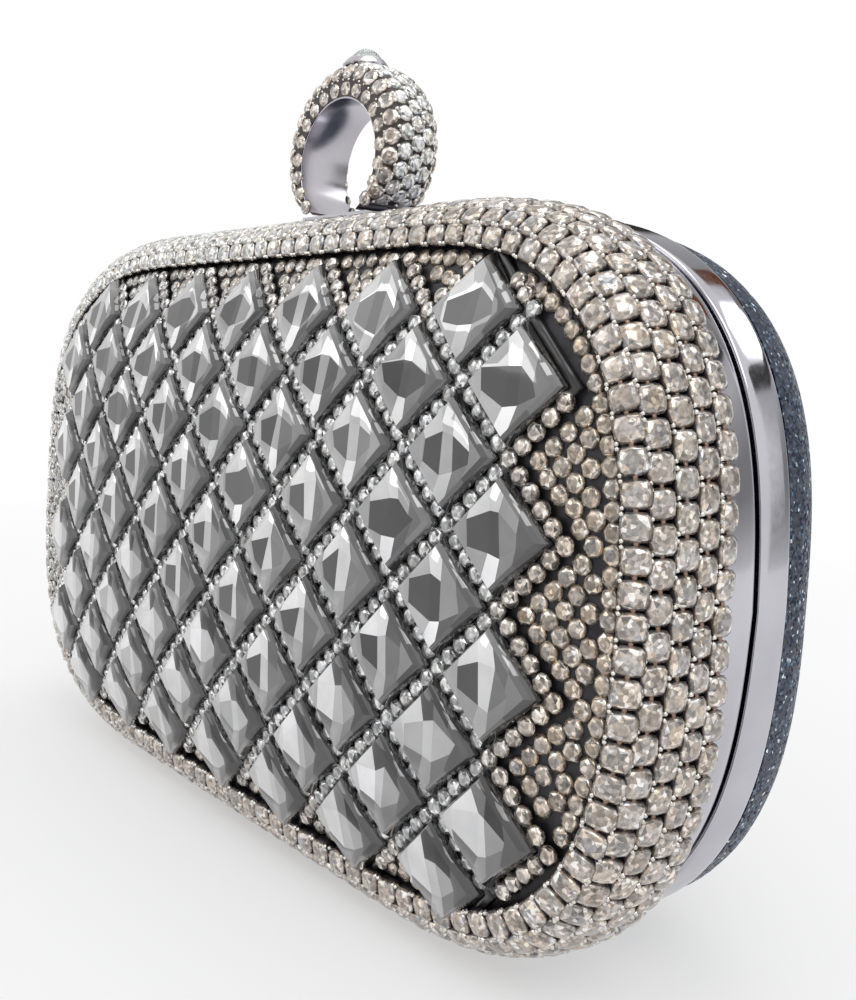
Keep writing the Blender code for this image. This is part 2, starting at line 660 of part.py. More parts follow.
def strike_pocket(piece):
    """Pocket in the front frame for the strike plate."""
    half = TONGUE_HALF_WIDTH + GAP + STRIKE_WALL + GAP
    front = TONGUE_Y - STRIKE_PLAY - STRIKE_WALL - GAP
    tool = block("strike_pocket", (-half, front, CASE_TOP - FRAME_WALL - CUT_OVERRUN),
                 (half, CUT_OVERRUN, CASE_TOP + CUT_OVERRUN), piece.data.materials[0])
    combine(piece, tool)


def top_stone(metal, crystal):
    """Dished collar on the ring and the clear waisted stone in it."""
    seat = CASE_TOP + RING_OUTER_HEIGHT + RING_OUTER_RADIUS + PAVE_CROWN + GAP
    inside = COLLAR_RADIUS - COLLAR_LIP
    floor, rim = seat + COLLAR_FLOOR, seat + COLLAR_HEIGHT
    dish = ((0.0, seat), (COLLAR_FOOT_RADIUS, seat), (COLLAR_RADIUS, floor), (COLLAR_RADIUS, rim),
            (inside, rim), (inside, floor), (0.0, floor))
    turned("ring_collar", dish, 0.0, RING_SHIFT, metal)
    low = floor + GAP
    girdle = inside - GAP
    stone = ((0.0, low), (girdle, low), (girdle * STONE_WAIST_SHARE, low + STONE_HEIGHT / 2),
             (girdle * STONE_TABLE_SHARE, low + STONE_HEIGHT), (0.0, low + STONE_HEIGHT))
    turned("ring_stone", stone, 0.0, RING_SHIFT, crystal)


def front_half(metal, plastic, black, claw, crystal, cloth):
    """The lid, with everything that the front carries."""
    front_frame = frame("front_frame", FRONT_SIGN, FRONT_FRAME_WIDTH, metal)
    for x in (-HINGE_PLACE, HINGE_PLACE):
        hinge_pocket(front_frame, FRONT_SIGN, x)
    strike_pocket(front_frame)
    front_shell(plastic)
    stone_carrier(black)
    stone_lattice(crystal)
    claw_rows(claw)
    lining_drop = SEAT_DROP + FRONT_SHELL_THICKNESS + GAP
    layer("front_lining", FRONT_SIGN, (FRAME_WALL + GAP, PARTING_GAP, front_floor(lining_drop)),
          (FRAME_WALL + GAP + LINING_THICKNESS, PARTING_GAP, front_floor(lining_drop + LINING_THICKNESS)),
          FRONT_CORNER_POWER, LINING_SHARES, cloth)


def back_half(metal, sheet, steel, cover, cloth):
    """The back, with its cover and lining and the ring's saddle."""
    back_frame = frame("back_frame", BACK_SIGN, BACK_FRAME_WIDTH, metal)
    for x in (-HINGE_PLACE, HINGE_PLACE):
        hinge_pocket(back_frame, BACK_SIGN, x)
    saddle_pocket(back_frame)
    rim = BACK_EDGE + GAP
    depths = np.cumsum((0.0, COVER_THICKNESS, GAP, BACK_SHELL_THICKNESS))
    surfaces = [(BACK_EDGE_INSET + drop, rim, back_floor(drop)) for drop in depths]
    layer("back_cover", BACK_SIGN, surfaces[0], surfaces[1], BACK_CORNER_POWER, BACK_SHARES, cover)
    layer("back_shell", BACK_SIGN, surfaces[2], surfaces[3], BACK_CORNER_POWER, BACK_HIDDEN_SHARES, sheet)
    lining = [(FRAME_WALL + GAP + drop, PARTING_GAP, back_floor(depths[-1] + GAP + drop))
              for drop in (0.0, LINING_THICKNESS)]
    layer("back_lining", BACK_SIGN, *lining, BACK_CORNER_POWER, BACK_HIDDEN_SHARES, cloth)
    ring_saddle(steel)
    rod("ring_pin", PIN_RADIUS, -saddle_half_width(), saddle_half_width(), PIVOT_Y, PIVOT_Z, steel)
    ring_spring(steel)


def main():
    """Build every piece of the bag."""
    for old in list(bpy.data.objects):
        bpy.data.objects.remove(old)
    metal = finish("polished_gunmetal", (0.42, 0.41, 0.45), 0.12, 1.0)
    plastic = finish("dark_shell", (0.03, 0.03, 0.035), 0.5)
    sheet = finish("pressed_sheet", (0.05, 0.05, 0.055), 0.4, 0.6)
    steel = finish("steel", (0.5, 0.5, 0.52), 0.3, 1.0)
    black = finish("black_enamel", (0.012, 0.012, 0.014), 0.35)
    claw = finish("claw_stones", (0.55, 0.5, 0.44), 0.2, 0.4)
    crystal = finish("crystal", (0.5, 0.5, 0.52), 0.08)
    glitter = finish("glitter_cloth", (0.06, 0.08, 0.09), 0.6)
    cloth = finish("lining_cloth", (0.02, 0.02, 0.022), 0.9)
    front_half(metal, plastic, black, claw, crystal, cloth)
    back_half(metal, sheet, steel, glitter, cloth)
    for side_name, x in (("left", -HINGE_PLACE), ("right", HINGE_PLACE)):
        hinge(side_name, x, steel)
    ring_band(metal)
    ring_pave(claw)
    ring_foot(steel)
    latch(steel)
    top_stone(metal, crystal)


CASE_PATH = stations(END_STEPS, 1)
main()
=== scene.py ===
# Looks for the hard evening clutch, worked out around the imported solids.
# X runs along the bag, the stone-set front faces -Y and Z is up. Sizes are in metres.
import math

import bmesh
import bpy
import numpy as np
from mathutils import Matrix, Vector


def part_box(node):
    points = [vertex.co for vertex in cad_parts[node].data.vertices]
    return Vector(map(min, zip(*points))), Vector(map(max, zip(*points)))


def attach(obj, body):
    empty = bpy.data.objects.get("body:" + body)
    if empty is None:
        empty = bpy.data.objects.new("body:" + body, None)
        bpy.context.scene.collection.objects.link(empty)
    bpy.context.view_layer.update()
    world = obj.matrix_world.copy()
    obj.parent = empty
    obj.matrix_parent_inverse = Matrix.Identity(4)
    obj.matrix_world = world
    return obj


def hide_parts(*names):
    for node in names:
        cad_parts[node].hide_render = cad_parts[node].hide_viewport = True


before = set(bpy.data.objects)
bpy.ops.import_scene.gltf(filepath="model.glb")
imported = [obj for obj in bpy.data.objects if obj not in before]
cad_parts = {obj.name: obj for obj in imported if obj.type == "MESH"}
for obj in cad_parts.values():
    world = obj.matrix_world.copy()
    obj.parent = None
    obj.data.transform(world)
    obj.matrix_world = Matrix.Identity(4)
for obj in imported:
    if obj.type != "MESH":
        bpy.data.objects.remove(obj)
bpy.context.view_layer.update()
mm = 0.001
draw = np.random.default_rng(41)

caseLow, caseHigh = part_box("front_frame")
bag = {
    "halfWidth": caseHigh.x,
    "halfHeight": caseHigh.z / 2,
    "straightHalf": 33.0 * mm,          # half of the straight run along the top
    "endPower": 2.8,                    # superellipse of the rounded ends
    "frontEdge": -caseLow.y,
    "backEdge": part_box("back_frame")[1].y,
    "depth": -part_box("stone_lattice")[0].y,
    "gap": 0.3 * mm,
}
pillow = {   # the stones' middle, and how far their surface bulges and falls away
    "halfWidth": 96.3 * mm, "halfHeight": 61.3 * mm, "centre": 48.1 * mm,
    "crown": 2.6 * mm, "endFall": 5.0 * mm, "sideFall": 19.9 * mm, "sink": 1.6 * mm,
}
panel = {"halfWidth": 78.0 * mm, "halfHeight": 42.4 * mm, "centre": 49.6 * mm}   # inner edge of the band


def unit(vectors):
    return vectors / np.linalg.norm(vectors, axis=-1, keepdims=True)


def stack(x, y, z):
    return np.stack(np.broadcast_arrays(x, y, z), axis=-1)


# Share of the way from a start to an end, kept from 0 to 1.
def shareBetween(value, start, end):
    return ((value - start) / (end - start)).clip(0.0, 1.0)


# Length run so far along a line, from the lengths of its steps.
def running(steps):
    return np.concatenate([[0.0], np.cumsum(steps)])


# Even shares of the way round, from 0 to just before 1.
def sharesRound(count):
    return np.linspace(0.0, 1.0, count, endpoint=False)


# Superellipse of power p: cos^(2/p) outwards and sin^(2/p) upwards.
def superellipse(angle, power):
    return np.cos(angle).clip(0.0) ** (2.0 / power), np.sign(angle) * np.abs(np.sin(angle)) ** (2.0 / power)


# The outline: four superellipse quarters joined by straight runs, with each place given by its share of the
# way round, from the right end over the top.
def outlineTable(count):
    end, rise = superellipse(np.linspace(0.0, math.pi / 2, count), bag["endPower"])
    one = np.ones(count)
    run = np.concatenate([one, -one, -one, one])
    ends = np.concatenate([end, -end[::-1], -end, end[::-1]])
    rises = np.concatenate([rise, rise[::-1], -rise, -rise[::-1]])
    x = run * bag["straightHalf"] + ends * (bag["halfWidth"] - bag["straightHalf"])
    return run, ends, rises, running(np.hypot(np.diff(x), np.diff(rises * bag["halfHeight"])))


runTable, endTable, riseTable, lengthTable = outlineTable(500)
roundLength = lengthTable[-1]


def atShare(share, *columns):
    place = (np.asarray(share) % 1.0) * roundLength
    return [np.interp(place, lengthTable, column) for column in columns]


def outline(share, halfWidth, halfHeight, centre, scale):
    run, end, rise = atShare(share, runTable, endTable, riseTable)
    x = run * bag["straightHalf"] + end * (halfWidth - bag["straightHalf"])
    return scale * x, centre + scale * rise * halfHeight


def caseOutline(share, inset, scale=1.0):
    return outline(share, bag["halfWidth"] - inset, bag["halfHeight"] - inset, bag["halfHeight"], scale)


def panelOutline(share, inset=0.0, scale=1.0):
    return outline(share, panel["halfWidth"] - inset, panel["halfHeight"] - inset, panel["centre"], scale)


# Share of the way towards an end (0 on the straight runs, 1 at the tip) and how much of a corner a place is.
def endShare(share):
    end, rise = atShare(share, endTable, riseTable)
    return end ** 2, 2.0 * np.abs(end * rise)


# Depth of the stones' crests: a soft crown plus falls in the fourth power towards the ends and sides.
def crest(x, z):
    across = x / pillow["halfWidth"]
    up = (z - pillow["centre"]) / pillow["halfHeight"]
    crown = pillow["crown"] * (1.0 - across ** 2) * (1.0 - up ** 2)
    falls = pillow["endFall"] * (1.0 - across ** 4) + pillow["sideFall"] * (1.0 - up ** 4)
    return crown + falls - pillow["sink"]


def belowCrest(x, z, drop):
    return stack(x, -(crest(x, z) - drop), z)


def addObject(name, data):
    made = bpy.data.objects.new(name, data)
    bpy.context.scene.collection.objects.link(made)
    return made


def shadeSmooth(mesh, degrees):
    mesh.shade_smooth()
    mesh.set_sharp_from_angle(angle=math.radians(degrees))


# A mesh from its points, the corner list of all faces and each face's number of corners.
def makePiece(name, points, corners, counts, material, tones=None, smooth=None):
    mesh = bpy.data.meshes.new(name)
    mesh.vertices.add(len(points))
    mesh.vertices.foreach_set("co", np.asarray(points, np.float32).ravel())
    mesh.loops.add(len(corners))
    mesh.loops.foreach_set("vertex_index", np.asarray(corners, np.int32))
    mesh.polygons.add(len(counts))
    mesh.polygons.foreach_set("loop_start", running(counts)[:-1].astype(np.int32))
    mesh.update(calc_edges=True)
    # the stones' facets keep their painted reflections and shade as a face colour
    if tones is not None:
        layer = mesh.attributes.new("paintedReflection", "FLOAT_COLOR", "FACE")
        layer.data.foreach_set("color", np.asarray(tones, np.float32).ravel())
    work = bmesh.new()
    work.from_mesh(mesh)
    bmesh.ops.recalc_face_normals(work, faces=work.faces)
    work.to_mesh(mesh)
    work.free()
    if smooth is not None:
        shadeSmooth(mesh, smooth)
    mesh.materials.append(material)
    return addObject(name, mesh)


# Quads between rows of points, each row closed; wrap also joins the last row to the first.
def rowQuads(count, around, wrap=False):
    index = np.arange(count * around).reshape(count, around)
    if wrap:
        index = np.vstack([index, index[:1]])
    near, far = index[:-1], index[1:]
    return np.stack([near, np.roll(near, -1, axis=1), np.roll(far, -1, axis=1), far], axis=-1).reshape(-1, 4)


# A skin over rows of points; unless it wraps, both ends close on a middle point.
def ringPiece(name, rows, material, smooth, wrap=False):
    rows = np.asarray(rows)
    count, around = rows.shape[:2]
    quads = rowQuads(count, around, wrap)
    points, corners, counts = rows.reshape(-1, 3), quads.ravel(), np.full(len(quads), 4)
    openEnds = () if wrap else (0, count - 1)
    for row in openEnds:
        line = np.arange(around) + row * around
        points = np.vstack([points, rows[row].mean(axis=0)])
        fan = np.stack([line, np.roll(line, -1), np.full(around, len(points) - 1)], axis=-1)
        corners = np.concatenate([corners, fan.ravel()])
        counts = np.concatenate([counts, np.full(around, 3)])
    return makePiece(name, points, corners, counts, material, smooth=smooth)


# The corner list and counts for copies of a shape's faces; size is the shape's number of points.
def repeatFaces(faces, number, size):
    flat = np.concatenate([np.array(face) for face in faces])
    corners = (np.arange(number)[:, None] * size + flat[None]).ravel()
    return corners, np.tile([len(face) for face in faces], number)


# Copies of one small shape: point = origin + a along + b across + c out, with (a, b, c) scaled by the sizes.
def copyShape(shape, origins, axes, sizes):
    local = shape["points"][None] * np.broadcast_to(sizes, origins.shape)[:, None]
    points = origins[:, None] + local @ np.stack(axes, axis=1)
    return points.reshape(-1, 3), *repeatFaces(shape["faces"], len(origins), len(shape["points"]))


def joinShapes(parts):
    starts = np.cumsum([0] + [len(points) for points, _, _ in parts])
    points, corners, counts = zip(*parts)
    corners = [own + start for own, start in zip(corners, starts)]
    return np.concatenate(points), np.concatenate(corners), np.concatenate(counts)


def turns(count, shift=0.0):
    return 2.0 * math.pi * (np.arange(count) + shift) / count


# Cut stone of a superellipse plan: base, girdle, a crown of kites and triangles, and a flat table.
def cutStone(sides, power, tableShare, crownHeight, baseDepth):
    around = 2 * sides
    baseReach, kiteReach, kiteHeight = 0.94, 0.5 * (1.0 + tableShare) + 0.07, 0.62 * crownHeight

    def plan(turn, radius, height):
        c, s = np.cos(turn), np.sin(turn)
        reach = radius / (np.abs(c) ** power + np.abs(s) ** power) ** (1.0 / power)
        return stack(reach * c, reach * s, height)

    points = np.vstack([plan(turns(around, 0.5), baseReach, -baseDepth), plan(turns(around, 0.5), 1.0, 0.0),
                        plan(turns(sides), kiteReach, kiteHeight),
                        plan(turns(sides) + math.pi / sides, tableShare, crownHeight)])
    middle, table = 2 * around, 2 * around + sides
    faces = [tuple(reversed(range(around))), *rowQuads(2, around)]
    for k in range(sides):
        after = (k + 1) % sides
        here, ahead, further = (around + (2 * k + step) % around for step in (-1, 0, 1))
        faces += [(here, ahead, middle + k), (ahead, further, middle + after, middle + k)]
        faces += [(middle + k, middle + after, table + k), (middle + k, table + k, table + (k - 1) % sides)]
    faces.append(tuple(table + k for k in range(sides)))
    return {"points": points, "faces": faces}


# A low bead: three rings and a tip.
def beadShape(sides):
    rings = [stack(r * np.cos(turns(sides)), r * np.sin(turns(sides)), h)
             for r, h in ((0.9, -0.4), (1.0, 0.1), (0.62, 0.75))]
    faces = [tuple(reversed(range(sides))), *rowQuads(3, sides)]
    faces += [(2 * sides + i, 2 * sides + (i + 1) % sides, 3 * sides) for i in range(sides)]
    return {"points": np.vstack([*rings, [[0.0, 0.0, 1.0]]]), "faces": faces}


def colourRows(colour):
    return np.concatenate([colour.clip(0.0, 1.0), np.ones((*colour.shape[:-1], 1))], axis=-1).reshape(-1, 4)


# Facet colours: painted reflections and shade, drawn from a few levels, times a tint, with a slight warm or
# cool drift per facet; the table, each shape's last face, has a painted level of its own.
def paintedFacetReflections(number, shape, tint, levels, weights, drift, tableLevel):
    size, facetSpread, tableSpread = (number, len(shape["faces"])), (0.85, 1.15), (0.7, 1.3)
    paintedShade = draw.choice(levels, size=size, p=weights) * draw.uniform(*facetSpread, size)
    paintedShade[:, -1] = tableLevel * draw.uniform(*tableSpread, number)
    warm = draw.normal(0.0, drift, (*size, 1)) * np.array([1.0, 0.1, -1.0])
    return colourRows(paintedShade[..., None] * np.array(tint) * (1.0 + warm))


# One tint for each stone, mixed by its share of the first colour.
def mixTint(share, first, second):
    share = share[:, None, None]
    return share * np.array(first) + (1.0 - share) * np.array(second)


# Materials: a number or colour is set on a node's socket, and another node's output is linked to it.
def feed(node, values):
    for key, value in values.items():
        if isinstance(value, bpy.types.NodeSocket):
            node.id_data.links.new(value, node.inputs[key])
        else:
            node.inputs[key].default_value = value


def newMaterial(name, **values):
    material = bpy.data.materials.new(name)
    material.use_nodes = True
    tree = material.node_tree
    shader = tree.nodes["Principled BSDF"]
    feed(shader, {socket.replace("_", " "): value for socket, value in values.items()})
    return material, tree, shader


def addNode(tree, kind, values=None, **settings):
    made = tree.nodes.new("ShaderNode" + kind)
    for key, value in settings.items():
        setattr(made, key, value)
    feed(made, values or {})
    return made


def addMath(tree, operation, first, second):
    return addNode(tree, "Math", {0: first, 1: second}, operation=operation).outputs["Value"]


def vectorMath(tree, operation, values, output="Vector"):
    return addNode(tree, "VectorMath", values, operation=operation).outputs[output]


def objectCoords(tree):
    return addNode(tree, "TexCoord").outputs["Object"]


def addNoise(tree, scale, detail=2.0, **values):
    values = {"Vector": objectCoords(tree), "Scale": scale, "Detail": detail, **values}
    return addNode(tree, "TexNoise", values).outputs["Fac"]


# Cells with a random colour each, which also gives random numbers as its red and green.
def addCells(tree, scale):
    values = {"Vector": objectCoords(tree), "Scale": scale}
    colour = addNode(tree, "TexVoronoi", values, feature="F1").outputs["Color"]
    return colour, addNode(tree, "SeparateColor", {"Color": colour}).outputs


def addRange(tree, source, low, high, fromLow=0.0, fromHigh=1.0):
    values = {"Value": source, "From Min": fromLow, "From Max": fromHigh, "To Min": low, "To Max": high}
    return addNode(tree, "MapRange", values).outputs["Result"]


def addRamp(tree, source, stops):
    ramp = addNode(tree, "ValToRGB", {"Fac": source})
    for index, (place, colour) in enumerate(stops):
        element = ramp.color_ramp.elements[index] if index < 2 else ramp.color_ramp.elements.new(place)
        colour = colour if isinstance(colour, tuple) else (colour,) * 3   # one number is a grey
        element.position, element.color = place, (*colour, 1.0)
    return ramp.outputs["Color"]


# A colour that drifts with noise from a dark to a light one.
def addDrift(tree, scale, detail, dark, light, low=0.35, high=0.68):
    return addRamp(tree, addNoise(tree, scale, detail), [(low, dark), (high, light)])


def addBump(tree, shader, source, strength, distance):
    bump = addNode(tree, "Bump", {"Height": source, "Strength": strength, "Distance": distance})
    feed(shader, {"Normal": bump.outputs["Normal"]})


# Plated metal: colour and polish drift softly, with hairlines too fine to see one by one.
def metalMaterial(name, colour, roughness, wear=0.05):
    material, tree, shader = newMaterial(name, Metallic=1.0)
    tint = addDrift(tree, 70.0, 3.0, tuple(0.86 * c for c in colour), colour, high=0.65)
    polish = addRange(tree, addNoise(tree, 900.0, 4.0), roughness, roughness + wear, 0.35, 0.7)
    feed(shader, {"Base Color": tint, "Roughness": polish})
    addBump(tree, shader, addNoise(tree, 2500.0), 0.04, 0.02 * mm)
    return material


# Foil-backed glass: each facet carries its own painted reflection and shade, under a clear polished coat.
def crystalMaterial(name, metallic, roughness, mottle, mottleScale, innerScale=0.0):
    material, tree, shader = newMaterial(name, Metallic=metallic, Roughness=roughness, Coat_Weight=0.5,
                                         Coat_Roughness=0.03, Coat_IOR=1.6)
    paintedReflection = addNode(tree, "Attribute", attribute_name="paintedReflection").outputs["Color"]
    cloud = addRange(tree, addNoise(tree, mottleScale, 3.0), 1.0 - mottle, 1.0 + mottle, 0.3, 0.7)
    # painted glints: the back facets seen through the stone get a painted glint each
    if innerScale > 0.0:   # the back facets seen through the stone, each with its own glint
        pick = addCells(tree, innerScale)[1]
        paintedGlint = addRamp(tree, pick["Red"], [(0.0, 0.58), (0.35, 0.84), (0.85, 1.2), (0.97, 2.2)])
        cloud = addMath(tree, "MULTIPLY", paintedGlint, cloud)
    mixed = vectorMath(tree, "SCALE", {0: paintedReflection, "Scale": cloud})
    feed(shader, {"Base Color": vectorMath(tree, "MINIMUM", {0: mixed, 1: (0.96, 0.96, 0.96)})})
    return material


# Cloth set with flakes: each has its own colour, gloss and lean.
def glitterMaterial():
    material, tree, shader = newMaterial("glitterCloth", Roughness=0.5, Sheen_Weight=0.03,
                                         Sheen_Roughness=0.4, Specular_IOR_Level=0.25)
    colour, pick = addCells(tree, 2600.0)
    ground = [(0.0, (0.007, 0.011, 0.028)), (0.6, (0.017, 0.026, 0.055)), (0.85, (0.042, 0.064, 0.115)),
              (0.96, (0.15, 0.23, 0.31)), (0.995, (0.75, 0.88, 0.9))]
    tilt = vectorMath(tree, "SUBTRACT", {0: colour, 1: (0.5, 0.5, 0.5)})
    lean = vectorMath(tree, "SCALE", {0: tilt, "Scale": 0.9})
    normal = addNode(tree, "NewGeometry").outputs["Normal"]
    feed(shader, {"Base Color": addRamp(tree, pick["Red"], ground),
                  "Metallic": addRange(tree, pick["Red"], 0.05, 0.9, 0.7, 0.97),
                  "Roughness": addRange(tree, pick["Green"], 0.2, 0.5),
                  "Normal": vectorMath(tree, "ADD", {0: normal, 1: lean})})
    return material


# Satin lining: soft creases under a fine grain.
def clothMaterial(name, dark, light):
    material, tree, shader = newMaterial(name, Roughness=0.7, Sheen_Weight=0.3, Sheen_Roughness=0.5)
    feed(shader, {"Base Color": addDrift(tree, 1100.0, 3.0, dark, light)})
    addBump(tree, shader, addNoise(tree, 32.0, Distortion=1.2), 0.35, 2.0 * mm)
    return material


def plainMaterial(name, dark, light, scale, roughness, metallic=0.0, coat=0.0, bump=0.0):
    material, tree, shader = newMaterial(name, Roughness=roughness, Metallic=metallic, Coat_Weight=coat)
    feed(shader, {"Base Color": addDrift(tree, scale, 4.0, dark, light)})
    if bump > 0.0:
        addBump(tree, shader, addNoise(tree, scale * 2.0, 3.0), 0.4, bump)
    return material


gunmetal = metalMaterial("polishedGunmetal", (0.55, 0.545, 0.59), 0.07)
ringSilver = metalMaterial("polishedRing", (0.52, 0.50, 0.54), 0.18)
clawMetal = metalMaterial("brightClaws", (0.74, 0.71, 0.67), 0.16)
cupMetal = plainMaterial("darkCups", (0.030, 0.025, 0.030), (0.11, 0.095, 0.105), 600.0, 0.35, metallic=0.6)
linkMetal = metalMaterial("warmLinks", (0.30, 0.20, 0.16), 0.30)
settingMetal = plainMaterial("ringSetting", (0.018, 0.013, 0.012), (0.05, 0.038, 0.036), 500.0, 0.35,
                             metallic=0.5)
steel = metalMaterial("platedSteel", (0.55, 0.55, 0.58), 0.26, wear=0.12)
bedEnamel = plainMaterial("latticeBed", (0.006, 0.006, 0.007), (0.02, 0.02, 0.021), 700.0, 0.3, coat=0.4)
panelGround = plainMaterial("panelGround", (0.007, 0.006, 0.008), (0.032, 0.031, 0.036), 420.0, 0.45,
                            metallic=0.3, bump=0.08 * mm)
shellPlastic = plainMaterial("shellPlastic", (0.018, 0.018, 0.02), (0.035, 0.035, 0.038), 900.0, 0.5,
                             bump=0.02 * mm)
sheetPaint = plainMaterial("sheetPaint", (0.035, 0.035, 0.04), (0.06, 0.06, 0.065), 500.0, 0.4, metallic=0.3)
squareCrystal = crystalMaterial("squareCrystal", 0.8, 0.08, 0.08, 260.0)
stripCrystal = crystalMaterial("stripCrystal", 0.7, 0.14, 0.25, 1500.0, 1900.0)
champagneCrystal = crystalMaterial("champagneCrystal", 0.6, 0.16, 0.2, 1500.0, 2100.0)
glitterCloth = glitterMaterial()
liningCloth = clothMaterial("liningCloth", (0.010, 0.010, 0.012), (0.034, 0.034, 0.038))


# Frames: a rounded section carried round the outline, with the pockets of the hinges and the clasp cut in.
frameLook = {
    "wall": 4.0 * mm, "around": 320, "parting": 0.42 * mm, "seam": 0.15 * mm, "tongueInset": 2.2 * mm,
    "axisHeight": 1.95 * mm, "relief": 0.85, "smooth": 38.0,
    "outer": ((0.9, 0.0), (0.5, 0.006), (0.24, 0.022), (0.10, 0.05), (0.03, 0.10), (0.0, 0.20), (0.0, 0.86),
              (0.08, 0.93), (0.28, 0.975), (0.6, 1.0)),   # inset in partingRound, share of the width
    "partingRound": 0.5 * mm, "archPlaces": (0.2, 0.86, 7), "frontCrown": 0.24 * mm, "backLoss": 0.4,
    "endInset": 0.9 * mm, "cornerInset": 0.9 * mm, "pocketReach": 3.0 * mm, "leafTop": 5.0 * mm,
    "topPocket": 6.0 * mm,
}


# Cuts boxes, each from a lowest to a highest corner, out of a piece.
def applyCuts(piece, boxes):
    faces = [(0, 1, 3, 2), (4, 6, 7, 5), (0, 4, 5, 1), (2, 3, 7, 6), (0, 2, 6, 4), (1, 5, 7, 3)]
    for low, high in boxes:
        corners = [(x, y, z) for x in (low[0], high[0]) for y in (low[1], high[1]) for z in (low[2], high[2])]
        cutter = makePiece("cutter", corners, np.ravel(faces), np.full(6, 4), gunmetal)
        cut = piece.modifiers.new("pocket", "BOOLEAN")
        cut.object = cutter
        cut.operation = "DIFFERENCE"
        graph = bpy.context.evaluated_depsgraph_get()
        done = bpy.data.meshes.new_from_object(piece.evaluated_get(graph))
        piece.modifiers.clear()
        piece.data = done
        bpy.data.objects.remove(cutter)


# A solid's box with play all round; low and high sides named by axis get a place of their own.
def cadPocket(node, lowPlaces, highPlaces):
    low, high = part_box(node)
    low, high = [c - bag["gap"] for c in low], [c + bag["gap"] for c in high]
    for corner, places in ((low, lowPlaces), (high, highPlaces)):
        for axis, value in places.items():
            corner[axis] = value
    return low, high


# The front frame's outside is a soft arch; the back frame draws in less towards its back edge.
def makeFrame(name, side, width, boxes):
    share = sharesRound(frameLook["around"])
    ends, corners = endShare(share)
    drawIn = frameLook["endInset"] * ends + frameLook["cornerInset"] * corners
    insets, knots = np.array(frameLook["outer"]).T
    section = []
    for place in np.unique(np.concatenate([knots, np.linspace(*frameLook["archPlaces"])])):
        inset = np.interp(place, knots, insets) * frameLook["partingRound"]
        if side < 0.0:
            section.append((inset + frameLook["frontCrown"] * (2.0 * place - 1.0) ** 2, place, 1.0))
        else:
            section.append((inset, place, 1.0 - frameLook["backLoss"] * place))
    # behind the open parting line a low tongue closes the joint but for a hair
    tongue = (frameLook["seam"] - frameLook["parting"]) / width
    section += [(frameLook["wall"], 1.0, 0.0), (frameLook["wall"], tongue, 0.0),
                (frameLook["tongueInset"], tongue, 1.0), (frameLook["tongueInset"], 0.0, 1.0)]
    rows = []
    for inset, place, drawn in section:
        x, z = caseOutline(share, inset + drawIn * drawn)
        # below the hinge axis the parting edges lean away from each other, so that the halves can swing
        lean = frameLook["relief"] * (frameLook["axisHeight"] - z)
        rows.append(stack(x, side * np.maximum(frameLook["parting"] + width * place, lean), z))
    piece = ringPiece(name + "_polished", rows, gunmetal, wrap=True, smooth=frameLook["smooth"])
    applyCuts(piece, boxes)
    shadeSmooth(piece.data, frameLook["smooth"])
    return piece


reach, leafTop = frameLook["pocketReach"], frameLook["leafTop"]
topFrom, topTo = caseHigh.z - frameLook["topPocket"], caseHigh.z + reach
frontPockets = [cadPocket(f"hinge_{side}_front_leaf", {2: -reach}, {1: reach, 2: leafTop})
                for side in ("left", "right")]
frontPockets.append(cadPocket("strike_plate", {2: topFrom}, {1: reach, 2: topTo}))
backPockets = [cadPocket(f"hinge_{side}_back_leaf", {1: -reach, 2: -reach}, {2: leafTop})
               for side in ("left", "right")]
backPockets.append(cadPocket("ring_saddle", {2: topFrom}, {2: topTo}))
for half, side, edge, pockets in (("front", -1.0, bag["frontEdge"], frontPockets),
                                  ("back", 1.0, bag["backEdge"], backPockets)):
    piece = makeFrame(half + "_frame", side, edge - frameLook["parting"], pockets)
    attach(piece, half + "_half")
    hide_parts(half + "_frame")
print("frames done")


# Bowls: depth falls from the rim to the floor as (1 - s^p)^(1/p), with s the share out from the middle.
bowlLook = {"around": 220, "rings": 26, "innerAngle": 0.02, "ringPower": 0.8, "smooth": 60.0,
            "frontPower": 8.0, "backPower": 3.0}


def bowlRows(side, inset, rim, floor, power):
    around = sharesRound(bowlLook["around"])
    angles = np.linspace(math.pi / 2, bowlLook["innerAngle"], bowlLook["rings"])
    rows = []
    for share in np.sin(angles) ** bowlLook["ringPower"]:
        x, z = caseOutline(around, inset, share)
        fall = (1.0 - share ** power) ** (1.0 / power)
        rows.append(stack(x, side * (rim + (floor(x, z) - rim) * fall), z))
    return rows


# A bowl with a wall: the floor is a function of a drop that gives the depth at (x, z).
def bowlPiece(name, half, look, rim, drop, floor, material):
    side, power = (-1.0 if half == "front" else 1.0), bowlLook[half + "Power"]
    wall = look["thickness"]
    outside = bowlRows(side, look["inset"], rim, floor(drop), power)
    inside = bowlRows(side, look["inset"] + wall, rim, floor(drop + wall), power)
    return ringPiece(name, outside[::-1] + inside, material, smooth=bowlLook["smooth"])


def frontFloor(drop):
    return lambda x, z: crest(x, z) - drop


def backFloor(drop):
    return lambda x, z: bag["depth"] - drop + 0.0 * x


coverLook = {"inset": 1.2 * mm, "thickness": 0.8 * mm}
liningLook = {"inset": 4.3 * mm, "rim": 0.3 * mm, "thickness": 0.8 * mm, "frontDrop": 5.1 * mm,
              "backDrop": 2.0 * mm}
cover = bowlPiece("back_cover_glitter", "back", coverLook, bag["backEdge"] + bag["gap"], 0.0, backFloor,
                  glitterCloth)
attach(cover, "back_half")
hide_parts("back_cover")
for half, floor in (("front", frontFloor), ("back", backFloor)):
    lining = bowlPiece(half + "_lining_cloth", half, liningLook, liningLook["rim"], liningLook[half + "Drop"],
                       floor, liningCloth)
    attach(lining, half + "_half")
    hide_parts(half + "_lining")
print("cover and linings done")


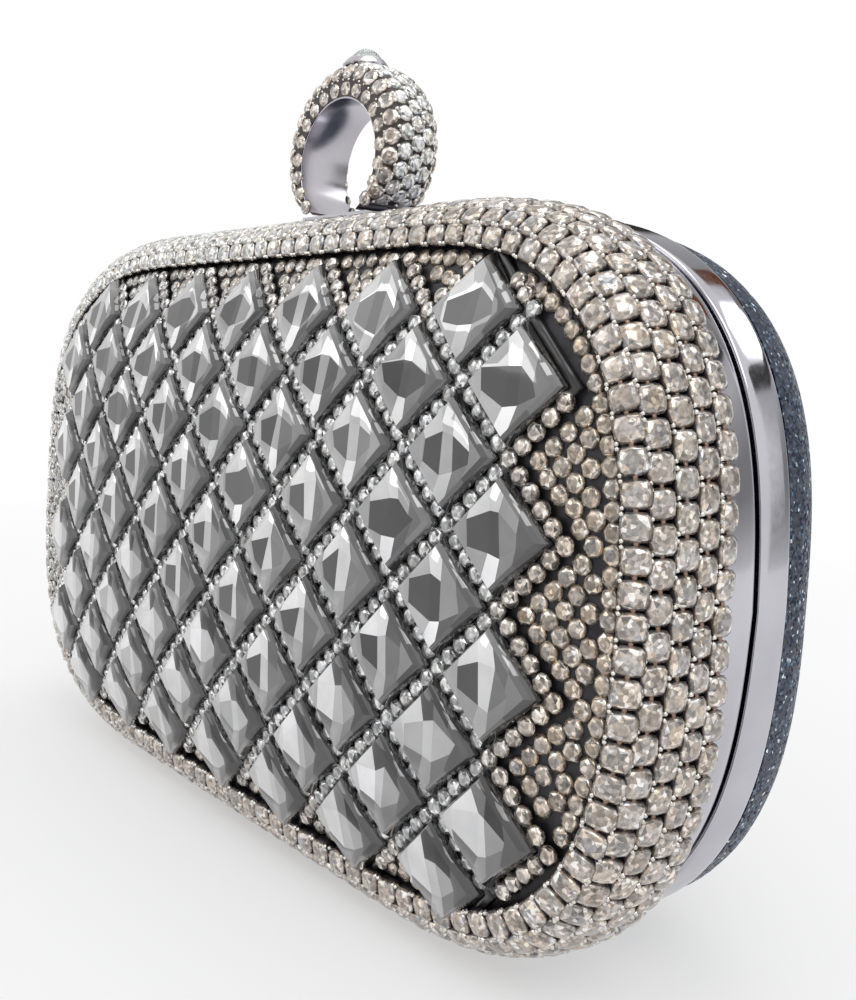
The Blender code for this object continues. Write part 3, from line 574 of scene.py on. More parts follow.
# Square stones on their corners in a net of small stones, all following the crests' surface. Shares are of a
# cell, from its middle to its corners.
lattice = {
    "step": 8.75 * mm, "rows": 9, "longRow": 8, "girdleShare": 0.825, "girdleDrop": 0.45 * mm,
    "breakShare": 0.935, "breakDrop": -0.40 * mm, "tableShare": 0.85, "tableDrop": -1.0 * mm, "jitter": 0.045,
    "secondShade": 0.42, "sideShade": 0.55, "shadeSpread": 0.03, "tint": (1.0, 1.0, 1.01),
    "stripShare": 0.842, "stripBevel": 0.01, "stripDrop": 0.75 * mm, "stripInset": 1.2 * mm, "bedShare": 0.5,
    "bedDrop": 1.05 * mm, "baseDrop": 2.1 * mm, "seat": 0.05 * mm, "smallPerSide": 5,
    "smallRadius": 1.27 * mm, "smallHeight": 0.60 * mm, "smallSeat": 0.02 * mm,
    "bareEdge": (7.5, 3.5), "bareReach": 0.6, "cornerWarmth": 0.5,
    # which set of painted reflections and shade a square stone takes, by its place on the panel
    "moodMiddle": 0.45, "moodRise": 0.20, "moodRun": 0.03, "moodSpread": 0.12, "moodMix": (1.0, 0.35, 0.35),
    # small stones' painted reflection levels, their weights, drift and table level
    "smallTones": ((0.08, 0.22, 0.42, 0.7, 1.0), (.12, .22, .30, .22, .14), 0.01, 0.5),
}


def latticeCells():
    half = lattice["rows"] // 2
    cells = []
    for j in range(-half, half + 1):
        count = lattice["longRow"] - (j + half + 1) % 2
        cells += [(i, j) for i in range(1 - count, count, 2)]
    return np.array(cells, float)


cells = latticeCells()
cellCorners = np.array([(1, 0), (0, 1), (-1, 0), (0, -1), (1, 0)], float)


# Lattice places in steps, lifted onto the crests' surface less a drop.
def onCrest(i, j, drop):
    return belowCrest(i * lattice["step"], pillow["centre"] + j * lattice["step"], drop)


# Points round a square: each corner, then the shares of the way to the next.
def squareRing(shares):
    return np.array([cellCorners[k] * (1 - share) + cellCorners[k + 1] * share
                     for k in range(4) for share in (0.0, *shares[k])])


# The square stone's plan with its corners at 1 on the axes: rings for the girdle, the break and the table's
# edge, then the corners of the fields seen in the table. Each field has a usual and a second painted shade,
# then its painted shades where the stones lie across the middle of the panel and where they lie low on it.
def squareStone():
    half = squareRing([[0.5]] * 4)
    tableEdge = squareRing([[0.38, 0.78], [0.16, 0.60], [0.38, 0.81], [0.16, 0.54]])
    inner = np.array([(-.54, .18), (-.04, .34), (.20, .33), (.58, .08),
                      (-.52, -.20), (-.06, -.36), (.20, -.36), (.56, -.12)])
    top = lattice["tableDrop"]
    rings = ((half, lattice["girdleDrop"]), (lattice["breakShare"] * half, lattice["breakDrop"]),
             (lattice["tableShare"] * tableEdge, top), (inner, top))
    points = np.vstack([stack(*plan.T, drop) for plan, drop in rings])
    # the fields' shades are painted reflections, highlights and shade: in the usual set the left facets are
    # lighter and the right ones darker, as the light falls
    fields = [
        ((8, 0, 1, 9), .36, .46, .36, .34), ((9, 1, 2, 10), .32, .52, .34, .32),
        ((10, 2, 3, 11), .58, .50, .56, .40), ((11, 3, 4, 12), .60, .66, .60, .44),
        ((12, 4, 5, 13), .62, .56, .58, .56), ((13, 5, 6, 14), .58, .70, .56, .54),
        ((14, 6, 7, 15), .34, .44, .36, .38), ((15, 7, 0, 8), .30, .40, .30, .32),
        ((16, 8, 9, 17), .40, .50, .36, .32), ((17, 9, 10, 19, 18), .48, .62, .36, .27),
        ((19, 10, 11, 21, 20), .66, .58, .70, .36), ((21, 11, 12, 22), .60, .68, .66, .52),
        ((22, 12, 13, 23), .66, .58, .58, .60), ((23, 13, 14, 25, 24), .62, .74, .56, .56),
        ((25, 14, 15, 27, 26), .38, .46, .42, .46), ((27, 15, 8, 16), .34, .44, .34, .36),
        ((22, 23, 32, 28, 21), .58, .66, .60, .82), ((21, 28, 29, 20), .62, .82, .87, .86),
        ((28, 32, 33, 29), .27, .34, .29, .87), ((32, 23, 24, 33), .68, .58, .56, .40),
        ((20, 29, 30, 18, 19), .88, .74, .88, .28), ((29, 33, 34, 30), .30, .66, .80, .80),
        ((33, 24, 25, 26, 34), .95, .74, .60, .58), ((18, 30, 31, 17), .62, .86, .36, .26),
        ((30, 34, 35, 31), .32, .54, .44, .70), ((34, 26, 27, 35), .52, .40, .50, .50),
        ((17, 31, 35, 27, 16), .46, .56, .48, .34),
    ]
    return points, len(inner), [field[0] for field in fields], np.array([field[1:] for field in fields])


def makeSquareStones():
    plan, innerCount, faces, paintedShades = squareStone()
    number, size, girdle = len(cells), len(plan), 8
    local = np.repeat(plan[None], number, axis=0)
    local[:, -innerCount:, :2] += draw.normal(0.0, lattice["jitter"], (number, innerCount, 2))
    i = cells[:, :1] + local[..., 0] * lattice["girdleShare"]
    j = cells[:, 1:] + local[..., 1] * lattice["girdleShare"]
    under = onCrest(i[:, :girdle], j[:, :girdle], lattice["bedDrop"] - lattice["seat"])
    points = np.concatenate([onCrest(i, j, local[..., 2]), under], axis=1)
    # the sides under the girdle and the base
    for k in range(girdle):
        faces.append((k, (k + 1) % girdle, size + (k + 1) % girdle, size + k))
    faces.append(tuple(range(size, size + girdle)))
    level = np.concatenate([paintedShades, np.full((girdle + 1, 4), lattice["sideShade"])])
    second = draw.random((number, len(faces))) < lattice["secondShade"]
    # each stone takes one of three sets of painted reflections and shade, by its place on the panel and a
    # little chance
    reflectionSet = lattice["moodMiddle"] - lattice["moodRun"] * cells[:, 0] - lattice["moodRise"] * cells[:, 1]
    reflectionSet = np.rint(2.0 * (reflectionSet + draw.normal(0.0, lattice["moodSpread"], number))).clip(0, 2).astype(int)
    main = level[:, [0, 2, 3]].T[reflectionSet]
    mix = np.array(lattice["moodMix"])[reflectionSet][:, None] * second
    paintedShade = main + mix * (level[:, 1] - main) + draw.normal(0.0, lattice["shadeSpread"], (number, len(faces)))
    linear = paintedShade.clip(0.1, 1.0)[..., None] ** 2.2   # a shade as it is seen, made a linear colour
    tones = colourRows(linear * np.array(lattice["tint"]))
    return makePiece("square_stones", points.reshape(-1, 3), *repeatFaces(faces, number, points.shape[1]),
                     squareCrystal, tones)


# The bed: a raised strip round every cell, the groove beside the stone and the floor under it.
def makeBed():
    edge = squareRing([[1 / 3, 2 / 3]] * 4)
    strip, inside = lattice["stripShare"], lattice["bedShare"]
    top, floor, base = lattice["stripDrop"], lattice["bedDrop"], lattice["baseDrop"]
    levels = [(1.0, base), (1.0, top), (strip + lattice["stripBevel"], top), (strip, floor), (inside, floor),
              (inside, base)]
    rows = np.stack([onCrest(cells[:, :1] + share * edge[:, 0], cells[:, 1:] + share * edge[:, 1], drop)
                     for share, drop in levels], axis=1)
    count, around = rows.shape[1:3]
    faces = repeatFaces(rowQuads(count, around, wrap=True), len(cells), count * around)
    return makePiece("lattice_bed", rows.reshape(-1, 3), *faces, bedEnamel)


roundStone = cutStone(6, 2.0, 0.56, 1.0, 0.6)


# Axes of the crests' surface at given places: along X, across Z and out of it.
def crestAxes(x, z):
    step = 0.2 * mm
    slopeX = (crest(x + step, z) - crest(x - step, z)) / (2 * step)
    slopeZ = (crest(x, z + step) - crest(x, z - step)) / (2 * step)
    out = unit(stack(-slopeX, -1.0, -slopeZ))
    along = unit(stack(1.0, -slopeX, 0.0))
    return along, np.cross(out, along), out


def smallStones(name, x, z, drop, radius, height, material, tones):
    along, across, out = crestAxes(x, z)
    spin = draw.uniform(0.0, 2.0 * math.pi, len(x))[:, None]
    turned = along * np.cos(spin) + across * np.sin(spin)
    shapes = copyShape(roundStone, belowCrest(x, z, drop), (turned, np.cross(out, turned), out),
                       stack(radius, radius, height))
    return makePiece(name, *shapes, material, tones)


# A grid of stones over the whole panel, which has the net's strips on its lines.
def gridStones():
    reach, touch = 70, 0.02   # of the grid in stones, and of what counts as on a line in steps
    p, q = np.meshgrid(np.arange(-reach, reach + 1), np.arange(-reach, reach + 1))
    offset = (cells[0].sum() + 1.0) % 2.0   # so that the grid starts on a corner of the cells
    i = ((p + q) / lattice["smallPerSide"] + offset).ravel()
    j = ((p - q) / lattice["smallPerSide"]).ravel()
    distance = np.abs(i[:, None] - cells[:, 0]) + np.abs(j[:, None] - cells[:, 1])
    nearest = distance.min(axis=1)
    onStrip, outside = np.abs(nearest - 1.0) < touch, nearest > 1.0 + touch
    # the net's outer edge touches an odd number of cells; there the stones take on the fill's colour
    onEdge = (np.abs(distance - 1.0) < touch).sum(axis=1) % 2 == 1
    outward = np.maximum(np.abs(i) - lattice["longRow"] + 1.0, np.abs(j) - lattice["rows"] // 2)
    corner = lattice["cornerWarmth"]
    warm = np.where(onEdge, corner + (1.0 - corner) * outward.clip(0.0, 1.0), 0.0)
    bareI, bareJ = lattice["bareEdge"]
    toBare = np.maximum(np.abs(i - bareI), np.abs(j - bareJ))
    bare = onEdge & (toBare < lattice["bareReach"]) & (np.abs(i + j - bareI - bareJ) < touch)
    return i * lattice["step"], pillow["centre"] + j * lattice["step"], onStrip, outside, bare, warm


def insidePanel(x, z, inset):
    width, height = panel["halfWidth"] - inset - bag["straightHalf"], panel["halfHeight"] - inset
    end = (np.abs(x) - bag["straightHalf"]).clip(0.0) / width
    rise = np.abs(z - panel["centre"]) / height
    return end ** bag["endPower"] + rise ** bag["endPower"] < 1.0


squareStones = makeSquareStones()
bed = makeBed()
gridX, gridZ, onStrip, outside, bareEdge, stripWarmth = gridStones()
strip = onStrip & insidePanel(gridX, gridZ, lattice["stripInset"])

# Fill: round stones between the net and the band, a row along the panel's edge and loose ones inside it.
fill = {
    "edgeInset": 1.55 * mm, "rightInset": 0.7 * mm, "edgePitch": 2.7 * mm, "edgeLength": 0.93,
    "netClear": 1.06, "clear": 2.58 * mm, "innerShare": 0.45, "startShare": 0.7, "rounds": 60,
    "radius": 1.30 * mm, "spread": 0.03 * mm, "drop": 1.5 * mm, "height": 0.52 * mm,
    # champagne towards the right end, nearly neutral towards the left
    "rightTint": (0.95, 0.81, 0.68), "leftTint": (0.92, 0.90, 0.86), "tintReach": 45 * mm,
    # the facets' painted reflections and shade: levels, their weights, drift and table level
    "tones": ((0.15, 0.30, 0.48, 0.66, 0.95), (.10, .24, .34, .22, .10), 0.06, 0.36),
}


def edgeStones():
    count = round(roundLength * fill["edgeLength"] / fill["edgePitch"])
    share = np.arange(count) / count
    rightEnd = endShare(share)[0] * (panelOutline(share)[0] > 0.0)
    x, z = panelOutline(share, fill["edgeInset"] + fill["rightInset"] * rightEnd)
    i, j = x / lattice["step"], (z - pillow["centre"]) / lattice["step"]
    nearest = (np.abs(i[:, None] - cells[:, 0]) + np.abs(j[:, None] - cells[:, 1])).min(axis=1)
    return np.stack([x, z], axis=1)[nearest > fill["netClear"]]


# The loose stones start on the grid and push each other apart until they just touch; fixed ones stay.
def looseStones(inner, edge, fixed):
    toEdge = np.hypot(*(inner[:, None] - edge).transpose(2, 0, 1)).min(axis=1)
    loose = inner[toEdge > fill["clear"] * fill["startShare"]]
    own = np.arange(len(loose))
    for _ in range(fill["rounds"]):
        others = np.vstack([loose, edge, fixed])
        apart = loose[:, None] - others[None]
        far = np.linalg.norm(apart, axis=2)
        far[own, own] = 1.0
        push = (fill["clear"] - far).clip(0.0) * np.where(np.arange(len(others)) < len(loose), 0.5, 1.0)
        loose = loose + 0.5 * (apart / far[..., None] * push[..., None]).sum(axis=1)
    return loose


def champagne(x):
    right = shareBetween(x, -fill["tintReach"], fill["tintReach"])
    return mixTint(right, fill["rightTint"], fill["leftTint"])


edge = edgeStones()
grid = np.stack([gridX, gridZ], axis=1)
inner = grid[outside & insidePanel(gridX, gridZ, fill["edgeInset"] + fill["clear"] * fill["innerShare"])]
fillX, fillZ = np.vstack([looseStones(inner, edge, grid[strip]), edge]).T
strip &= ~bareEdge
stripX, stripZ = gridX[strip], gridZ[strip]
stripTint = 1.0 - stripWarmth[strip, None, None] * (1.0 - champagne(stripX))
stripTones = paintedFacetReflections(len(stripX), roundStone, stripTint, *lattice["smallTones"])
stripStones = smallStones("strip_stones", stripX, stripZ, lattice["stripDrop"] + lattice["smallSeat"],
                          lattice["smallRadius"], lattice["smallHeight"], stripCrystal, stripTones)
fillTones = paintedFacetReflections(len(fillX), roundStone, champagne(fillX), *fill["tones"])
fillStones = smallStones("panel_stones", fillX, fillZ, fill["drop"],
                         draw.normal(fill["radius"], fill["spread"], len(fillX)), fill["height"],
                         champagneCrystal, fillTones)

# The plate under the stones: two skins between the middle and the panel's edge.
plate = {"topDrop": 1.72 * mm, "bottomDrop": 3.2 * mm, "overlap": 0.4 * mm, "around": 240, "rings": 24,
         "middle": 0.02, "smooth": 60.0}


def makeCarrier():
    around, middle = sharesRound(plate["around"]), plate["middle"]
    rows = []
    for drop, start, end in ((plate["topDrop"], middle, 1.0), (plate["bottomDrop"], 1.0, middle)):
        for scale in np.linspace(start, end, plate["rings"]):
            rows.append(belowCrest(*panelOutline(around, -plate["overlap"], scale), drop))
    return ringPiece("carrier_plate", rows, panelGround, smooth=plate["smooth"])


carrier = makeCarrier()
for piece, slotName in ((squareStones, "square_stones"), (bed, "enamel"), (stripStones, "square_stones"),
                        (fillStones, "claw_stones"), (carrier, "enamel")):
    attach(piece, "front_half")
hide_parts("stone_lattice")
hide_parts("stone_carrier")
print("panel done:", len(cells), "square stones,", len(stripX), "in strips,", len(fillX), "in the panel")


# Band: rows of cushion stones in claws on a quarter superellipse from the panel's edge to the frame.
band = {
    "rows": 5, "power": 2.6, "steps": 80, "raise": 0.35 * mm, "inset": 0.35 * mm, "pitch": 3.85 * mm,
    "alongShare": 0.93, "acrossShare": 0.99, "crown": 0.62 * mm, "lean": 0.035, "wobble": 0.012,
    "cupDepth": 1.25 * mm, "cupDrop": 0.35 * mm, "cupAlong": 1.03, "clawAlong": 0.86, "clawOver": 0.88,
    "claw": (0.36 * mm, 0.36 * mm, 0.50 * mm), "endFlare": 1.0 * mm, "cornerFlare": 0.5 * mm,
    "endReach": 1.7 * mm, "leftDip": 1.5 * mm, "link": (0.50 * mm, 0.38 * mm, 0.32 * mm),
    "linkDrop": 0.80 * mm,
    # warmer towards the right and towards the bottom
    "warmTint": (0.95, 0.85, 0.76), "coolTint": (1.24, 1.22, 1.16), "warmAlong": (-20 * mm, 40 * mm),
    "warmDown": (45 * mm, 15 * mm),
    # the facets' painted reflections and shade: levels, their weights, drift and table level
    "tones": ((0.24, 0.38, 0.50, 0.64, 0.92), (.10, .24, .36, .22, .08), 0.05, 0.46),
}


# Point of the band at a share of the way round and a share of the way across, even along the curve.
def bandPoint(share, across):
    share, across = np.broadcast_arrays(np.asarray(share, float), np.asarray(across, float))
    out, deep = superellipse(np.linspace(math.pi / 2, 0.0, band["steps"]), band["power"])
    innerX, innerZ = panelOutline(share)
    ends, corners = endShare(share)
    inset = band["inset"] - band["endFlare"] * ends - band["cornerFlare"] * corners
    outerX, outerZ = caseOutline(share, inset)
    near = bag["frontEdge"] + bag["gap"] - band["endReach"] * ends
    far = crest(innerX, innerZ) + band["raise"] - band["leftDip"] * ends * (innerX < 0.0)
    x, y, z = (start[:, None] + (end - start)[:, None] * part
               for start, end, part in ((innerX, outerX, out), (near, far, deep), (innerZ, outerZ, out)))
    curve = stack(x, -y, z)
    length = np.cumsum(np.linalg.norm(np.diff(curve, axis=1), axis=2), axis=1)
    length = np.hstack([np.zeros((len(share), 1)), length]) / length[:, -1:]
    which, after = np.arange(len(share)), (length < across[:, None]).sum(axis=1).clip(1, band["steps"] - 1)
    before, lengthBefore = curve[which, after - 1], length[which, after - 1]
    part = (across - lengthBefore) / (length[which, after] - lengthBefore)
    return before + part[:, None] * (curve[which, after] - before)


def bandAxes(share, across):
    stepAlong, stepAcross = 0.0015, 0.08
    along = unit(bandPoint(share + stepAlong, across) - bandPoint(share - stepAlong, across))
    over = bandPoint(share, min(across + stepAcross, 1.0)) - bandPoint(share, max(across - stepAcross, 0.0))
    out = unit(np.cross(over, along))
    return along, np.cross(out, along), out


cushionStone = cutStone(8, 4.0, 0.52, 1.0, 0.25)
clawBead = beadShape(5)
cupShape = cutStone(6, 4.0, 0.8, 0.35, 1.0)
perRow = round(roundLength / band["pitch"])
evenShare = np.arange(perRow) / perRow
rowWidth = np.linalg.norm(bandPoint(evenShare, 0.4) - bandPoint(evenShare, 0.6), axis=1)   # the middle row's
linkParts = []
for row in range(band["rows"]):
    share = (np.arange(perRow) + 0.5 * (row % 2)) / perRow
    middle = (row + 0.5) / band["rows"]
    origin = bandPoint(share, np.full(perRow, middle))
    along, over, out = bandAxes(share, middle)
    after = np.roll(origin, -1, axis=0)
    halfAlong = np.linalg.norm(after - np.roll(origin, 1, axis=0), axis=1) / 4 * band["alongShare"]
    halfOver = rowWidth / 2 * band["acrossShare"]
    lean = draw.normal(0.0, band["lean"], (perRow, 2))
    tilted = unit(out + along * lean[:, :1] + over * lean[:, 1:])
    along = unit(along - tilted * (along * tilted).sum(axis=1, keepdims=True))
    over = np.cross(tilted, along)
    axes = (along, over, tilted)
    girdle = origin - tilted * band["crown"]
    wobble = draw.normal(1.0, band["wobble"], perRow)
    warmth = np.maximum(shareBetween(origin[:, 0], *band["warmAlong"]),
                        shareBetween(origin[:, 2], *band["warmDown"]))
    tint = mixTint(warmth, band["warmTint"], band["coolTint"])
    tones = paintedFacetReflections(perRow, cushionStone, tint, *band["tones"])
    name = f"claw_row_{row + 1}"
    sizes = stack(halfAlong * wobble, halfOver * wobble, band["crown"])
    stoneShapes = copyShape(cushionStone, girdle, axes, sizes)
    stones = makePiece(name + "_stones", *stoneShapes, champagneCrystal, tones)
    sizes = stack(halfAlong * band["cupAlong"], halfOver, band["cupDepth"])
    cupShapes = copyShape(cupShape, girdle - tilted * band["cupDrop"], axes, sizes)
    cups = makePiece(name + "_cups", *cupShapes, cupMetal)
    clawParts = []
    for side in (1, -1):
        place = girdle + along * (side * band["clawAlong"] * halfAlong[:, None])
        place = place + over * (band["clawOver"] * halfOver[:, None])
        clawParts.append(copyShape(clawBead, place, axes, band["claw"]))
    claws = makePiece(name + "_claws", *joinShapes(clawParts), clawMetal, smooth=50.0)
    between = (origin + after) / 2 - tilted * band["linkDrop"]
    linkParts.append(copyShape(clawBead, between, axes, band["link"]))
    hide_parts(name)
    for piece in (stones, cups, claws):
        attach(piece, "front_half")
links = makePiece("claw_row_links", *joinShapes(linkParts), linkMetal, smooth=50.0)
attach(links, "front_half")
print("band done:", perRow, "stones a row")


# Finger ring: a wall between a round bore and a horseshoe outside, both cut off at the foot.
ring = {
    "shift": -1.1 * mm, "halfDepth": 5.0 * mm, "boreRadius": 10.25 * mm, "boreHeight": 10.2 * mm,
    "outerRadius": 15.8 * mm, "outerHeight": 10.75 * mm, "footRadius": 12.1 * mm, "pinch": 5.1 * mm,
    "pinchPower": 4.2, "cut": 1.9 * mm, "steps": 120, "sectionSteps": 200, "sectionPower": 3.0,
    "shoulder": 0.30, "lip": 0.012, "settingRows": (0.012, 0.988, 40), "smooth": 40.0,
}


# Path runs from -1 to 1 round the ring, radial from the bore to the outside and depth from -1 to 1.
def ringWall(path, radial, depth):
    path, radial, depth = np.broadcast_arrays(path, radial, depth)
    bore = path * math.acos((ring["cut"] - ring["boreHeight"]) / ring["boreRadius"])
    outer = path * math.acos((ring["cut"] - ring["outerHeight"]) / ring["footRadius"])
    radius = ring["outerRadius"] - ring["pinch"] * np.abs(path) ** ring["pinchPower"]
    innerX, innerZ = ring["boreRadius"] * np.sin(bore), ring["boreHeight"] + ring["boreRadius"] * np.cos(bore)
    outerX, outerZ = radius * np.sin(outer), ring["outerHeight"] + radius * np.cos(outer)
    x = innerX + (outerX - innerX) * radial
    z = innerZ + (outerZ - innerZ) * radial
    return stack(x, ring["shift"] + ring["halfDepth"] * depth, caseHigh.z + z)


# Section of the setting: flat beside the bore, then a superellipse over the outside; t runs from the front
# edge (0) over the outside (0.5) to the back edge (1), evenly along its length.
def sectionTable():
    angle = np.linspace(-math.pi / 2, math.pi / 2, ring["sectionSteps"])
    radial, depth = superellipse(angle, ring["sectionPower"])
    radial = ring["shoulder"] + (1.0 - ring["shoulder"]) * radial
    radial = np.concatenate([[ring["lip"]], radial, [ring["lip"]]])
    depth = np.concatenate([[-1.0], depth, [1.0]])
    wall = ring["outerRadius"] - ring["boreRadius"]
    length = running(np.hypot(np.diff(radial) * wall, np.diff(depth) * ring["halfDepth"]))
    return radial, depth, length / length[-1], length[-1]


sectionRadial, sectionDepth, sectionShare, sectionLength = sectionTable()


def sectionAt(t):
    return np.interp(t, sectionShare, sectionRadial), np.interp(t, sectionShare, sectionDepth)


def settingPoint(path, t):
    return ringWall(path, *sectionAt(t))


def settingAxes(path, t):
    step = 0.004
    along = unit(settingPoint(path + step, t) - settingPoint(path - step, t))
    over = unit(settingPoint(path, t + step) - settingPoint(path, t - step))
    out = unit(np.cross(along, over))
    middle = settingPoint(path, t) - np.array([0.0, ring["shift"], caseHigh.z + ring["boreHeight"]])
    out = out * np.sign((out * middle).sum(axis=1, keepdims=True))
    along = unit(along - out * (along * out).sum(axis=1, keepdims=True))
    return along, np.cross(out, along), out


def sweepRing(name, section, material):
    path = np.linspace(-1.0, 1.0, ring["steps"] + 1)
    rows = [np.stack([ringWall(p, radial, depth) for radial, depth in section]) for p in path]
    return ringPiece(name, rows, material, smooth=ring["smooth"])


boreSection = [(0.02, -0.985), (0.006, -0.975), (0.0, -0.95), (0.0, 0.95), (0.006, 0.975), (0.02, 0.985),
               (0.20, 0.95), (0.20, -0.95)]
settingSection = [(0.16, 0.93), (0.16, -0.93)] + [sectionAt(t) for t in np.linspace(*ring["settingRows"])]
ringBand = sweepRing("ring_band_polished", boreSection, ringSilver)
ringSetting = sweepRing("ring_setting", settingSection, settingMetal)

pave = {
    "rowStep": 2.75 * mm, "firstInset": 1.35 * mm, "pitch": 2.98 * mm, "steps": 400, "endGap": 0.03,
    "endClear": 0.3, "radius": 1.46 * mm, "rimRadius": 1.32 * mm, "height": 0.5 * mm, "sink": 0.1 * mm,
    "innerBead": 0.42 * mm, "rimBead": 0.25 * mm,
    # tint and the level of the table's painted reflection, for the face rows and the outer rows
    "faceLook": ((0.94, 0.82, 0.73), 0.42), "outerLook": ((1.08, 1.08, 1.03), 0.85),   # tint, table level
    # the facets' painted reflections and shade: levels, their weights and drift
    "tones": ((0.16, 0.36, 0.58, 0.85, 1.0), (.12, .22, .32, .22, .12), 0.05),
}


# Places along the ring at one t, a pitch apart; shift 1 moves them by half a pitch.
def evenPath(t, pitch, shift):
    fine = np.linspace(-1.0 + pave["endGap"], 1.0 - pave["endGap"], pave["steps"])
    line = settingPoint(fine, np.full(len(fine), t))
    length = running(np.linalg.norm(np.diff(line, axis=0), axis=1))
    count = int(length[-1] / pitch)
    wanted = (np.arange(count) + 0.5 - shift * 0.5) * length[-1] / count
    clear = pave["endClear"] * pitch
    return np.interp(wanted[(wanted > clear) & (wanted < length[-1] - clear)], length, fine)


def makePave():
    offsets = [sectionLength / 2 - pave["firstInset"] - k * pave["rowStep"] for k in range(3)]
    places = sorted([0.0, *offsets, *[-offset for offset in offsets]])
    stoneParts, toneParts, beadParts = [], [], []
    shape, bead = cutStone(6, 2.0, 0.58, 1.0, 0.6), beadShape(6)
    last = len(places) - 1
    for index, offset in enumerate(places):
        fromRim = min(index, last - index)
        t = 0.5 + offset / sectionLength
        path = evenPath(t, pave["pitch"], index % 2)
        here = np.full(len(path), t)
        axes = settingAxes(path, here)
        radius = pave["radius"] if fromRim else pave["rimRadius"]
        stoneParts.append(copyShape(shape, settingPoint(path, here) - axes[2] * pave["sink"], axes,
                                    (radius, radius, pave["height"])))
        tint, table = pave["faceLook"] if fromRim < 2 else pave["outerLook"]
        toneParts.append(paintedFacetReflections(len(path), shape, tint, *pave["tones"], table))
        if index:
            between = 0.5 + (offset + places[index - 1]) / 2 / sectionLength
            beadPath = evenPath(between, pave["pitch"] / 2, 0)
            here = np.full(len(beadPath), between)
            size = pave["rimBead"] if index in (1, last) else pave["innerBead"]
            beadParts.append(copyShape(bead, settingPoint(beadPath, here), settingAxes(beadPath, here), size))
    stones = makePiece("ring_stones", *joinShapes(stoneParts), champagneCrystal, np.vstack(toneParts))
    beads = makePiece("ring_beads", *joinShapes(beadParts), clawMetal, smooth=50.0)
    return stones, beads


ringStones, ringBeads = makePave()

# Collar and clear stone on top: turned profiles (radius, height above the collar's seat) in mm.
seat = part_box("ring_collar")[0].z
topStone = {
    "collar": ((3.7, -1.25), (3.95, -0.95), (3.75, -0.6), (3.45, -0.25), (3.25, 0.0), (3.1, 0.12),
               (3.0, 0.02), (2.98, -0.9)),
    "stone": ((2.92, -0.7), (2.92, -0.02), (2.7, 0.45), (2.25, 0.95), (1.75, 1.4), (1.2, 1.75), (0.6, 1.95),
              (0.15, 2.0)),
}


def turnedPiece(name, profile, sides, material, wrap, smooth):
    turn = turns(sides)
    rows = [stack(radius * mm * np.cos(turn), ring["shift"] + radius * mm * np.sin(turn), seat + height * mm)
            for radius, height in profile]
    return ringPiece(name, rows, material, wrap=wrap, smooth=smooth)


clearStone, tree, shader = newMaterial("clearStone", Roughness=0.03, IOR=1.5, Transmission_Weight=0.7)
feed(shader, {"Base Color": addDrift(tree, 400.0, 2.0, (0.86, 0.95, 0.90), (0.97, 1.0, 0.99), 0.3, 0.7)})
collar = turnedPiece("ring_collar_flare", topStone["collar"], 64, ringSilver, True, 50.0)
crownStone = turnedPiece("ring_top_stone", topStone["stone"], 12, clearStone, False, 8.0)
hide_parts("ring_band")
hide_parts("ring_pave")
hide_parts("ring_collar")
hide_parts("ring_stone")
for piece, slotName in ((ringBand, "polished_metal"), (ringSetting, "claw_stones"),
                        (ringStones, "claw_stones"), (ringBeads, "claw_stones"), (collar, "polished_metal"),
                        (crownStone, "clear_stone")):
    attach(piece, "ring")
print("ring done")


# Solids that stay as they are get their finish.
steelNodes = ["ring_saddle", "ring_pin", "ring_spring", "latch_tongue", "strike_plate"]
steelNodes += [f"hinge_{side}_{part}" for side in ("left", "right")
               for part in ("front_leaf", "back_leaf", "pin")]
finishes = {"front_shell": shellPlastic, "back_shell": sheetPaint, "ring_foot": gunmetal,
            **dict.fromkeys(steelNodes, steel)}
for node, material in finishes.items():
    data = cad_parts[node].data
    data.materials.clear()
    data.materials.append(material)


# Studio: pale floor, white surroundings, soft lamps and the photograph's camera.
studio = {
    "skyDiffuse": 0.62, "floorSize": 6.0, "floorDrop": 0.0005,
    "floorDrift": (8.0, 2.0, (0.90, 0.90, 0.91), (0.92, 0.92, 0.93), 0.3, 0.7),
    "clear": (-0.3, 0.45), "giveWay": (0.6, 0.9), "giveWayReach": 0.05,
    "lamps": (   # place, aim, width, height, watts
        ((0.50, -0.30, 0.66), (0.0, 0.0, 0.06), 0.45, 0.45, 1.5),
        ((-0.45, -0.60, 0.45), (0.0, 0.0, 0.05), 0.6, 0.4, 0.8),
        ((0.40, 0.68, 0.52), (0.05, 0.0, 0.06), 0.26, 0.5, 0.66),
        ((0.05, 0.02, 0.75), (0.0, 0.0, 0.08), 0.5, 0.3, 1.0),
    ),
    "cards": (   # name, place, aim, width, height, axis of the tones, tones
        # the frames' upper corner mirrors the first; the last is grey, and dark along its top
        ("top_card", (-0.08, 0.55, 0.46), (0.07, 0.0, 0.09), 0.58, 0.34, 0,
         ((0.0, 0.03), (0.14, 0.03), (0.22, 0.55), (0.60, 0.42), (0.80, 0.42), (0.86, 0.30), (1.0, 0.32))),
        ("brown_card", (0.045, 0.54, 0.50), (0.07, 0.0, 0.09), 0.10, 0.22, 0,
         ((0.0, (0.17, 0.066, 0.038)), (1.0, (0.20, 0.072, 0.036)))),
        ("side_card", (0.35, 0.54, 0.23), (0.085, 0.0, 0.23), 0.36, 0.46, 2,
         ((0.0, 0.75), (0.10, 0.50), (0.20, 0.32), (0.34, 0.30), (0.50, 0.42), (0.66, 0.60), (0.79, 0.55),
          (0.83, 0.05), (1.0, 0.05))),
    ),
}
squareTurn = np.array([(-1, -1), (1, -1), (1, 1), (-1, 1)])


